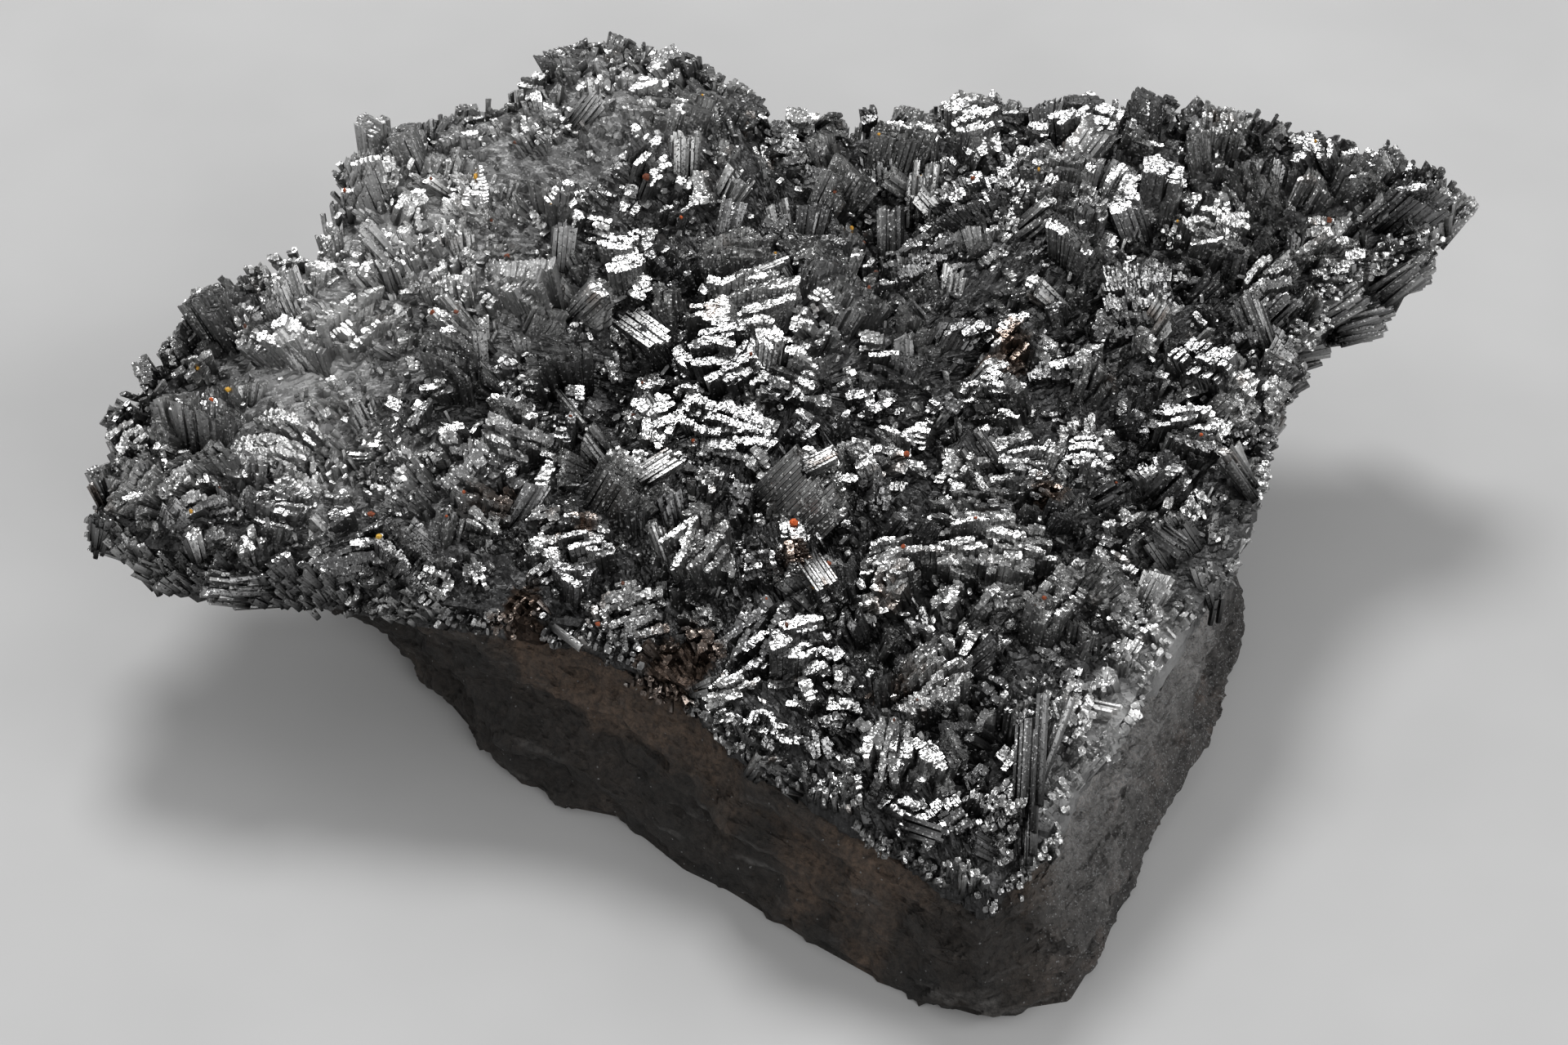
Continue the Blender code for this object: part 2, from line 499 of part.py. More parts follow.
def make_crust(outline, rng):
    """The crust body with every crystal joined on, as one solid."""
    sheaves = MAIN_SHEAVES + fill_sheaves(outline, rng)
    blocks = [stepped_block(sheaf, rng) for sheaf in sheaves]
    blocks += edge_blocks(outline, rng)
    guides = bpy.data.collections.new("crystal_blocks")
    bpy.context.scene.collection.children.link(guides)
    guides.hide_render = True
    for number, block in enumerate(blocks):
        mesh = mesh_of(f"block_{number}", block, block_faces(len(block) // 2))
        outward_faces(mesh)
        guide = bpy.data.objects.new(mesh.name, mesh)
        guide.hide_render = True
        guide.display_type = "WIRE"
        guides.objects.link(guide)
    crust = add_object(make_crust_body(outline, rng))
    join = crust.modifiers.new("grown_together", "BOOLEAN")
    join.operation = "UNION"
    join.operand_type = "COLLECTION"
    join.collection = guides
    join.solver = SOLVER
    crust.data = without_voids(crust)
    crust.modifiers.clear()
    for guide in list(guides.objects):
        bpy.data.objects.remove(guide)
    crust.data.materials.append(principled("steel_grey", (0.12, 0.12, 0.125), 0.35, 0.9))
    return crust


def without_voids(crust):
    """The crust's joined mesh with only its outer surface: sealed voids between crystals are solid."""
    joined = crust.evaluated_get(bpy.context.evaluated_depsgraph_get())
    mesh = bpy.data.meshes.new_from_object(joined)
    form = bmesh.new()
    form.from_mesh(mesh)
    unseen = set(form.faces)
    shells = []
    while unseen:
        shell = {unseen.pop()}
        front = set(shell)
        while front:
            edges = [e for face in front for e in face.edges if e.is_manifold]
            front = {face for edge in edges for face in edge.link_faces} & unseen
            unseen -= front
            shell |= front
        shells.append(shell)
    outer = max(shells, key=len)
    inner = [face for shell in shells if shell is not outer for face in shell]
    bmesh.ops.delete(form, geom=inner, context="FACES")
    form.to_mesh(mesh)
    form.free()
    return mesh


def outward_faces(mesh):
    form = bmesh.new()
    form.from_mesh(mesh)
    bmesh.ops.recalc_face_normals(form, faces=form.faces)
    form.to_mesh(mesh)
    form.free()


def main():
    for existing in list(bpy.data.objects):
        bpy.data.objects.remove(existing)
    outline = divided(CRUST_OUTLINE, OUTLINE_STEP)
    make_matrix(outline, np.random.default_rng(SEED))
    make_crust(outline, np.random.default_rng(SEED + 1))


main()
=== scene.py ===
"""Looks for the pyrolusite specimen: fine blades, druse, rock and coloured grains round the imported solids.

The layout is the one that the solids are made from, in millimetres; metres() takes it to the model's frame.
"""

import math

import bpy
import numpy as np
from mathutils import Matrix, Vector, noise


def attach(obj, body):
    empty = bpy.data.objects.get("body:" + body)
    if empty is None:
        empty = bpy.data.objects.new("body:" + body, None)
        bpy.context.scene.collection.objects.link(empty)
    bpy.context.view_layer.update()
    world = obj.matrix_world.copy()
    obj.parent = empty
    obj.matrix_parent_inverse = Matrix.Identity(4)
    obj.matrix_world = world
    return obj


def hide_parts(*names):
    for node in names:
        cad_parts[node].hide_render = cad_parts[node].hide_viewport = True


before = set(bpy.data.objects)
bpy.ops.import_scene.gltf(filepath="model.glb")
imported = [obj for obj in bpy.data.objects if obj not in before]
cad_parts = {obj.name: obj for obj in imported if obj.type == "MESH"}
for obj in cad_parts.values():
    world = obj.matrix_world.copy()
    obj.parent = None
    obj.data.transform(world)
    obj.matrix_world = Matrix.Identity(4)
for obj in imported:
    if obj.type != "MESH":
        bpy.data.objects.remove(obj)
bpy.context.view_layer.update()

MM = 0.001
SEED = 25
MIDDLE = np.array([0.3, 0.0, 0.0])  # of the specimen, in the layout

# Blades have a six-sided section and slanting ends.
SECTION = np.array([(-1.0, 0.0), (-0.7, -1.0), (0.7, -1.0), (1.0, 0.0), (0.7, 1.0), (-0.7, 1.0)])
SIDES = len(SECTION)
HIGHEST_RISE = 0.12
STEEPEST_END = 1.1
GRAIN_SHIFT = 90.0  # moves the striae on from blade to blade
SHEAF_CONTRAST = 0.7
TONE_SPREAD = (0.15, 0.08)  # of a row's plates, and of their blades
# Painted shade on blades whose ends lie lower than their sheaf's, for each millimetre lower, up to the
# deepest.
LOWER_DARKER = 0.32
DEEPEST_SHADE = 0.7
ROW_WANDER = 0.15  # of plates out of their row, as a share of its thickness
NARROWEST_ROW = 0.15
BROKEN_OFF = (0.2, 1.2)
SPREAD_IN_THICKNESS = 0.6  # against the spread in width
LEVELLED = 0.35  # how far a blade's end moves to lie level with its plate's
THICKNESS_VARIES = (0.8, 1.15)
GLEAM_FROM = 0.6
GLINT_ALIGNMENT = (0.88, 1.0)
DULL_TURN = 0.6

# Crystal faces.
FACET_SIZE = 0.16
CAP_FACETS = 0.22
SIDE_FACETS = 0.05
SMOOTHEST_END = 0.3
SPECK_SIZE = 0.08
SPECK_SHARE = 0.35
SPECK_TILT = 0.8
SPARKLE_SHARE = 0.03
SPARKLE_FACING = (0.0, -0.5, 2.5)
STRIA_DEPTH = 0.05
STRIA_STRETCH = (5.0, 5.0, 0.16)
DARK_STEEL = (0.22, 0.22, 0.222)
MID_STEEL = (0.43, 0.43, 0.428)
PALE_STEEL = (0.64, 0.64, 0.635)
PALE_TINT_AND_SHEEN = (0.85, 0.85, 0.845)
BROWN_STAIN = (0.12, 0.075, 0.05)

# Rock faces. Their browns and black are the rock's own dark colour, set darker still as painted shade, for
# the front-left face that they cover stands in shadow.
ROCK_BLACK = (0.013, 0.0115, 0.01)
ROCK_BROWN = (0.028, 0.0225, 0.0185)
ROCK_TAN = (0.08, 0.063, 0.051)
RIGHT_PALE = (0.6, 0.585, 0.57)
RIGHT_DARK = (0.025, 0.023, 0.022)
RIGHT_GREY = (0.062, 0.057, 0.054)
RIGHT_PINK = (0.17, 0.13, 0.11)
RUST_DARK = (0.045, 0.03, 0.02)
RUST_BRIGHT = (0.2, 0.132, 0.09)
VEIN_GREY = (0.16, 0.155, 0.15)
FLAKE_GREY = (0.25, 0.25, 0.25)
FLAKE_SIZE = 0.07
FEWEST_FLAKES = 0.002
CHIP_SIZE = 0.5
UNDER_RANGE = 12.0  # from the crust down to where the rock's colour no longer changes
# painted sheen: the right face is pale near the crust, partly its own light grey and partly the glancing
# sheen of the crystal lip
PALE_DOWN = [(0.0, 0.85), (0.2, 0.4), (0.5, 0.06), (1.0, 0.0)]  # share of that range, and strength
# the right side's greyer colours against the dark front-left: partly the rock's own colours, partly painted
# light and shade
GREY_SIDE = [(-68, 0.0), (-56, 1.0), (50, 1.0), (110, 0.2), (150, 0.0), (200, 0.0)]  # by angle

# Small sheaves between the main ones.
TUFT_TRIES = 14000
TUFT_INSET = 0.7
TUFT_SPACING = 1.42
TUFT_BELOW = 0.3
TUFT_LEAN = 24.0
TUFT_HEIGHT = (2.0, 3.4)
TUFT_LOWEST = 1.2
TUFT_WIDTH = (1.2, 2.8)
TUFT_THICKNESS = (0.7, 1.6)
TUFT_DROP = (0.15, 0.4)
TUFT_SPLAY = (1.1, 1.5)
EDGE_HEIGHT = (1.4, 0.6)  # at the outline, and for each millimetre inside it
CLEARING = (1.2, 0.42)  # round a big sheaf's foot: millimetres down its lean, share of its thickness

# Fibres up the crust's broken side; the lists go by the angle round the rim.
FIBRE_SPACING = 0.35
FIBRE_LAYERS = 9
FIBRES_IN_BUNDLE = 5
FIBRE_HALF_WIDTH = (0.06, 0.17)
FIBRE_HALF_THICKNESS = (0.08, 0.2)
FIBRE_TAPER = (0.6, 1.0)
FIBRE_SCATTER = 0.6  # share of the spacing
FIBRE_SLANT = [
    (-73, 0.0), (-20, 0.1), (5, -0.3), (15, -0.9), (21, -0.5), (27, 0.0), (50, 0.1), (180, 0.0), (270, 0.0),
]
FIBRE_SHARE = [
    (-73, 0.6), (-20, 0.6), (0, 1.0), (45, 1.0), (70, 0.5), (165, 0.42), (185, 0.3), (225, 0.3), (260, 0.5),
]
FIBRE_SHADE = [(-73, 0.1), (60, 0.1), (150, 0.15), (200, 0.18), (260, 0.15)]
FIBRE_HANG = [(-30, 0.0), (0, 0.3), (12, 1.0), (24, 1.2), (34, 0.2), (60, 0.0), (170, 0.0), (225, 0.0)]
BUNDLE_LEAN = (0.28, 0.4)  # spread for whole fibres, and what broken ones add
BUNDLE_RISE = 0.45
BUNDLE_OUT = (0.0, 0.55)
BUNDLE_TONES = (0.1, 0.9)

# Blades at the crust's edge, its ground, the rock and the druse.
EDGE_BLADE_PITCH = 0.25
EDGE_BLADE_WIDTHS = (0.14, 0.36)
EDGE_BLADE_REACH = (-0.9, 0.15)
EDGE_BLADE_HALF_THICKNESS = (0.1, 0.2)
GROUND_DOWNS = (14, 18, 22, 18, 6, 4, 5, 3, 2, 3)
GROUND_AROUND = 600
# painted shade on the crust's ground between the crystals
GROUND_SHADE = 0.75
GROUND_TONES = (0.1, 0.6)
GROUND_RELIEF = [(0.9, 0.4, 3.1), (0.4, 0.2, 7.7)]  # facet size, depth, seed
ROCK_DOWNS = (3, 2, 3, 12, 13, 12, 13, 13, 12, 10, 6, 3)
ROCK_AROUND = 640
ROCK_RELIEF = [(3.2, 0.55, 1.7), (1.2, 0.3, 5.3), (0.5, 0.16, 8.9)]
BED_RELIEF = 0.3  # share of that relief on the rock's bed
DRUSE_TRIES = 7000
DRUSE_LENGTH = (0.5, 1.1)
DRUSE_INSET = 1.5
DRUSE_RISE = 0.35
DRUSE_SUNK = 0.4
DRUSE_LEAN = 0.6
DRUSE_HALF_WIDTH = (0.08, 0.3)
DRUSE_HALF_THICKNESS = (0.06, 0.14)
DRUSE_SHADE = 0.35

# Lone slabs: x, y, angle on view, length, width, softness.
SLABS = [
    (-7.1, 5.1, -50, 2.9, 1.5, 0.03), (-1.2, 7.6, 33, 2.3, 0.34, 0.06),
    (1.1, -3.9, 40, 2.1, 0.85, 0.03), (1.1, -10, -62, 2.2, 1.1, 0.05), (-10.6, 0.6, -68, 3, 0.3, 0.14),
    (-10.4, -11.2, -45, 2, 0.24, 0.12), (-6.4, -3.3, 45, 2.2, 1.3, 0.16),
    (16.8, -7.2, -40, 2.4, 1.2, 0.3), (10.2, -19.8, 88, 6.8, 1.4, 0.3),
    (11.1, -18.6, 78, 5.2, 0.9, 0.35), (10, -22.4, 92, 3.6, 1, 0.25),
    (13.6, -15.8, -24, 1.7, 0.5, 0.05), (5.6, -23, -32, 2.6, 0.9, 0.22),
]
SLAB_NEIGHBOURS = 80
SLAB_LEVEL = 86  # percentile of their tips' heights
SLAB_HALF_THICKNESS = 0.2
DULL_SLAB = 0.2  # softer slabs lie along the crystals, turned away from the light
TURNED_AWAY = 0.6
STRIP_WIDTHS = (0.1, 0.26)
STRIP_TILT = 0.03
STRIP_LEVEL = 0.03  # spread of the strips' heights
STRIP_REACH = (0.35, 0.52)  # of each end from the middle, as a share of the length
SLAB_TONES = (0.6, 1.0)
DULL_TONE = 0.2

# Coloured grains: x, y, radius, tone from rust to yellow.
GRAINS = [
    (-0.2, -6.3, 0.24, 0.45), (-13.3, 9.8, 0.15, 0.1), (-11.6, 9.8, 0.14, 0.1),
    (-17.6, 5.9, 0.15, 0.15), (-16, 5.4, 0.12, 0.1), (-7, 12.6, 0.17, 0.1), (8.6, 14.2, 0.14, 0.15),
    (26.4, 11.4, 0.15, 0.1), (5.8, -2.4, 0.15, 0.2), (4.4, -8.4, 0.15, 0.2), (1.6, -9, 0.13, 0.15),
    (-9.4, -10.8, 0.12, 0.2), (-19.4, -5.6, 0.15, 0.15), (-22, 12.8, 0.12, 0.3), (-18.9, -8.4, 0.14, 1),
    (-27, 0.8, 0.15, 0.95), (-15.9, 13.6, 0.13, 0.9), (0.2, -10.4, 0.12, 0.85),
]
GRAIN_ORANGE = (0.75, 0.13, 0.02)
GRAIN_YELLOW = (0.7, 0.42, 0.05)
GRAIN_TRIES = 200
GRAIN_INSET = 1.5
SCATTERED_GRAINS = 40
GRAIN_RADIUS = (0.06, 0.12)
GRAIN_TONES = (0.05, 0.1, 0.2, 0.35, 0.9)
GRAIN_REACH = 0.8
GRAIN_RINGS = 5
GRAIN_AROUND = 8
GRAIN_KNOBBLES = (0.75, 1.15)
GRAIN_STRETCH = (0.7, 1.2)
GRAIN_PROUD = 0.4  # share of its radius that a grain's middle stands above the crystal

# Where end faces share one facing and flash together: x, y, radius, share of the faces.
GLINTS = [
    (-4, 4.2, 2, 0.95), (-3.8, 0.4, 1.6, 1), (-4.9, 1.6, 1.5, 1), (-2.9, -0.2, 1.5, 0.8),
    (11.7, 12.1, 1.8, 0.5), (17.3, 13.6, 1.4, 1), (17, 12.6, 1.2, 1), (19.6, 1, 1.7, 1),
    (5.4, -21.3, 1.5, 1), (-9.6, -8.5, 1.1, 0.9), (-8.1, 9.4, 1.3, 0.95), (-0.9, -16, 1.5, 0.8),
    (0.4, -13.6, 1.3, 1), (14.8, 18, 1.6, 0.8), (3.3, -1.9, 2.2, 0.4), (-8.5, 16.5, 3, 0.3),
    (-14, 15, 3.2, 0.2), (-20, 12, 3.4, 0.15), (-20, 5, 3, 0.14), (-25, 2.5, 3, 0.06),
    (-23, -3, 3, 0.1), (8, -12, 3, 0.2), (-17.3, 1.1, 1.3, 0.35), (-26, 5.1, 1.8, 0.2),
    (-14.4, 5.1, 1.4, 0.35), (4.3, 1.2, 1.2, 0.45), (0.4, -6.8, 1.6, 0.45), (-23.6, 5.1, 1.6, 0.25),
    (-8.6, 13.2, 1.6, 0.35), (1, 5, 1.4, 0.35), (4, -10.3, 1.3, 0.35), (9.5, 16.8, 2.4, 0.4),
    (-15.7, -0.9, 2, 0.3), (11, 0, 2.4, 0.15), (30.5, 13, 1, 0.3), (9.2, 5, 1.2, 0.7),
    (9.8, 3, 1.2, 0.7), (11.2, 0.2, 1, 0.6), (13.2, -1.4, 0.9, 0.5), (6, 0.6, 1.2, 0.6),
    (18.1, 5.8, 1.1, 0.3), (16.9, -1.4, 1, 0.4), (26.6, 16.4, 1.2, 0.5), (23.8, 15.8, 1, 0.4),
    (8.8, 18.8, 1, 0.6), (-1.7, 4.1, 1.2, 0.6), (-27.5, -3, 2.5, 0.08),
]
# Where faces lie turned away from the light: x, y, radius, strength.
DULL_AREAS = [
    (-25, 1, 3, 0.3), (-28, -2, 2.5, 0.7), (29, 12, 4.5, 1), (25.5, 9.5, 3.2, 1),
    (12.4, -5.4, 1.2, 0.2), (6.4, -17.2, 1.6, 1), (26.6, 12, 2.2, 1), (16.7, 8.8, 2, 1),
    (-14.1, -3.6, 1.3, 0.6), (-20.6, 0.6, 1.3, 1), (-2.5, 9.4, 1.5, 0.8), (3.9, -14.2, 1.2, 0.8),
]
# Where the crystals are finer and paler, their paleness partly their own and partly a painted sheen for their
# many small glints: x, y, radius, strength.
PALE_AREAS = [
    (-20, 12, 4.2, 0.75), (-22.5, 4.2, 2.4, 0.8), (-22, -2.6, 2.6, 0.5), (-17.5, -3.6, 1.8, 0.3),
    (-9.5, 18.5, 4, 0.5), (-13, 7.6, 1.8, 0.6), (3, 5.5, 2.2, 0.3), (-14.8, -2.2, 1.6, 0.2),
    (15, 16, 5, 0.15), (21.5, -4, 1.4, 0.2), (19.5, -8, 1.4, 0.2), (17.3, -12, 1.5, 0.7),
    (14.8, -16, 1.5, 0.8), (12.4, -20, 1.4, 0.6), (-16, 16, 2, 0.2), (-28, -2, 2.5, 0.2),
]
# Where iron has stained the crystals, and the rock under them: x, y, radius, strength.
RUSTY_AREAS = [
    (-12.2, -9.8, 0.9, 0.9), (-13.2, -4.4, 0.8, 0.7), (-5.2, -12.6, 1.2, 1), (0.2, -7.8, 0.7, 0.8),
    (10.3, 4.2, 0.7, 0.9), (11.8, -4, 0.8, 0.7), (-9.6, -6.4, 0.8, 0.6), (3.8, -15.6, 0.7, 0.6),
]
RUSTY_ROCK = [(-11.5, -10.5, 2, 0.6), (-7.5, -12, 2.4, 1), (-3, -15.5, 2, 0.7), (1.5, -19.5, 1.6, 0.2)]

# The studio.
LENS = 100.0
SENSOR = 36.0
CLIP = (0.005, 20.0)  # nearest and farthest, in metres
CAMERA_TARGET = np.array([-0.5, -1.5, 9.0])
CAMERA_ELEVATION = math.radians(40.0)
CAMERA_DISTANCE = 205.0
CAMERA_AT = CAMERA_TARGET + CAMERA_DISTANCE * np.array(
    [0.0, -math.cos(CAMERA_ELEVATION), math.sin(CAMERA_ELEVATION)]
)
KEY_AT = CAMERA_TARGET + 450.0 * np.array([-0.12, 0.465, 0.877])
LIGHTS = [  # name, place, size, watts
    ("key", KEY_AT, 150.0, 1.27),
    ("fill_left", (-420.0, -60.0, 260.0), 300.0, 0.4),
    ("fill_right", (420.0, -60.0, 240.0), 240.0, 0.7),
    ("fill_front", (180.0, -500.0, 320.0), 320.0, 1.4),
]
WORLD_STOPS = [(0.0, 0.5), (0.3, 0.3), (0.7, 0.75), (1.0, 1.0)]
WORLD_STRENGTH = 0.55
FLOOR_SIZE = 3000.0
FLOOR_GREY = (0.42, 0.46)
VIEW_TRANSFORM = "Standard"
VIEW_LOOK = "None"

# Driving dimensions, in millimetres and degrees.
BED_TILT = 11.0  # the bed that the crystals grow on rises towards the back
BED_FRONT = 6.5  # height of the bed at the front corner
FRONT_Y = -25.0
CENTRE = np.array([0.0, 2.0])  # both outlines are stars round this point
GAP = 0.3  # between rock and crust
REBATE_CLEARANCE = 0.4  # between the rock and the inner side of the crust's lip
CRUST_BODY = 1.7  # solid crust between the bed and the feet of the free crystals
BODY_ROUGHNESS = 0.3
BODY_RINGS = (0.28, 0.52, 0.75, 0.94)  # share of the way out from the middle to the crust's wall
BODY_EDGE = (0.7, -0.5)  # at the wall: share of the swells that is left, and rise above the body
LIP_WIDTH = 2.2  # crust that laps over the rock's edge
LIP_SHOULDER = (0.1, 0.4)  # share of the lip's depth that it is drawn in by, at this share of the way down
LIP_FOOT_RISE = 0.2  # the lip's foot is this much higher on its inner side
ROOT_RISE = (0.7, 1.3)  # the crystals start this far above the bed, inside the crust

# The crust seen from above: front corner, right face, right wing, back, left wing, front-left face.
CRUST_OUTLINE = [
    (8.3, -25.4), (11.3, -22.0), (12.9, -18.7), (15.7, -14.3), (18.6, -9.8), (21.7, -4.2),
    (22.5, 0.2), (24.1, 5.2), (27.4, 10.4), (31.0, 12.2), (33.2, 16.2), (29.5, 18.4),
    (25.2, 20.0), (21.6, 21.4), (17.5, 21.8), (14.2, 21.8), (9.4, 22.4), (4.4, 20.8),
    (-0.5, 20.8), (-2.4, 22.6), (-5.9, 23.8), (-8.8, 25.2), (-11.8, 25.0), (-13.7, 21.8),
    (-17.5, 20.6), (-21.2, 19.0), (-22.9, 16.4), (-23.7, 11.2), (-27.0, 10.2), (-29.3, 9.0),
    (-32.3, 2.0), (-33.2, -4.4), (-31.2, -7.0), (-27.1, -7.8), (-22.5, -8.5), (-17.6, -9.5),
    (-13.8, -10.2), (-10.1, -10.8), (-8.2, -12.0), (-4.7, -14.3), (-3.0, -16.8), (0.9, -20.0),
    (4.2, -22.2), (6.6, -24.2),
]
OUTLINE_STEP = 6.0  # longest side of the outline once it is divided
LEAST_SQUARENESS = 0.5  # keeps an inset from running away where the outline points at the centre

# The rock's footprint on the floor.
BASE_OUTLINE = [
    (11.4, -25.7), (8.2, -25.2), (4.2, -23.4), (2.4, -22.0), (-1.8, -18.1), (-7.1, -14.4),
    (-9.2, -11.2), (-10.6, -12.0), (-15.5, -6.6), (-18.5, -1.0), (-17.0, 6.5), (-11.0, 13.0),
    (-2.0, 16.0), (10.0, 15.5), (18.0, 12.0), (21.5, 6.0), (21.4, 0.5), (20.3, -3.6),
    (17.6, -12.1), (15.2, -16.6), (13.7, -22.2),
]
FOOT_BEVEL = 0.5
SHOULDER_DROP = 0.25  # from the bottom of the rebate out to the top of the rock's sides
ROCK_ROUGHNESS = (0.35, 0.25)  # spread outwards and upwards
ROCK_LEVELS = (0.12, 0.26, 0.38, 0.52, 0.66, 0.8, 0.92)  # share of the way down to the floor
ROCK_LEDGES = (0.3, -0.5, 0.45, -0.35, 0.5, -0.3, 0.2)  # how far each level stands out or in
LEDGE_WAVES = 5  # times that a ledge comes and goes round the rock
LEDGE_TWIST = 9.0  # radians that the waves move on by from the top to the floor
LOWEST_LEDGE = 0.45

# Round the edge, by the angle about CENTRE: how far the crust's wall stands inside its crystals' tips,
# how far the crust laps down over the rock, how far the rock stands back under it, and how quickly the
# rock's underside runs in (1 straight, less is sooner).
RIM = [
    (-73, 0.3, 0.5, 0.0, 1.0), (-60, 0.4, 0.8, 0.1, 1.0), (-20, 0.5, 1.2, 0.1, 1.0),
    (2, 0.6, 1.8, 0.3, 0.9), (12, 1.0, 3.8, 1.2, 0.5), (23, 1.4, 4.6, 2.0, 0.4),
    (33, 1.4, 3.6, 1.6, 0.5), (60, 1.4, 2.6, 1.2, 0.8), (120, 1.4, 2.6, 1.2, 0.8),
    (155, 1.4, 2.4, 1.6, 0.6), (191, 1.4, 2.0, 2.2, 0.4), (204, 1.0, 1.4, 1.6, 0.45),
    (214, 0.5, 0.8, 0.4, 0.8), (235, 0.3, 0.5, 0.0, 1.0), (270, 0.3, 0.5, 0.0, 1.0),
]
LIP_SLANT = 0.45  # the lip's foot is drawn in by this share of its depth

# Swells and hollows of the crust: x, y, height, radius.
RELIEF = [
    (-9.0, 19.5, 2.7, 3.4),  # knob at the back
    (-20.5, 14.0, 0.9, 3.0),
    (-7.5, 3.0, -1.5, 3.2),  # hollow beside the central sheaf
    (-2.8, 3.5, 1.4, 2.8),
    (7.0, 12.5, -0.8, 2.6),
    (13.0, 13.5, 0.9, 3.2),
    (15.0, 1.0, -0.9, 2.6),
    (19.0, 1.5, 0.8, 2.4),
    (5.0, -18.5, 0.9, 3.4),
    (8.5, -9.5, 0.9, 3.2),
    (-5.5, -12.0, -0.9, 1.8),  # notch in the front-left edge
    (-27.0, -5.0, 0.7, 4.0),
]

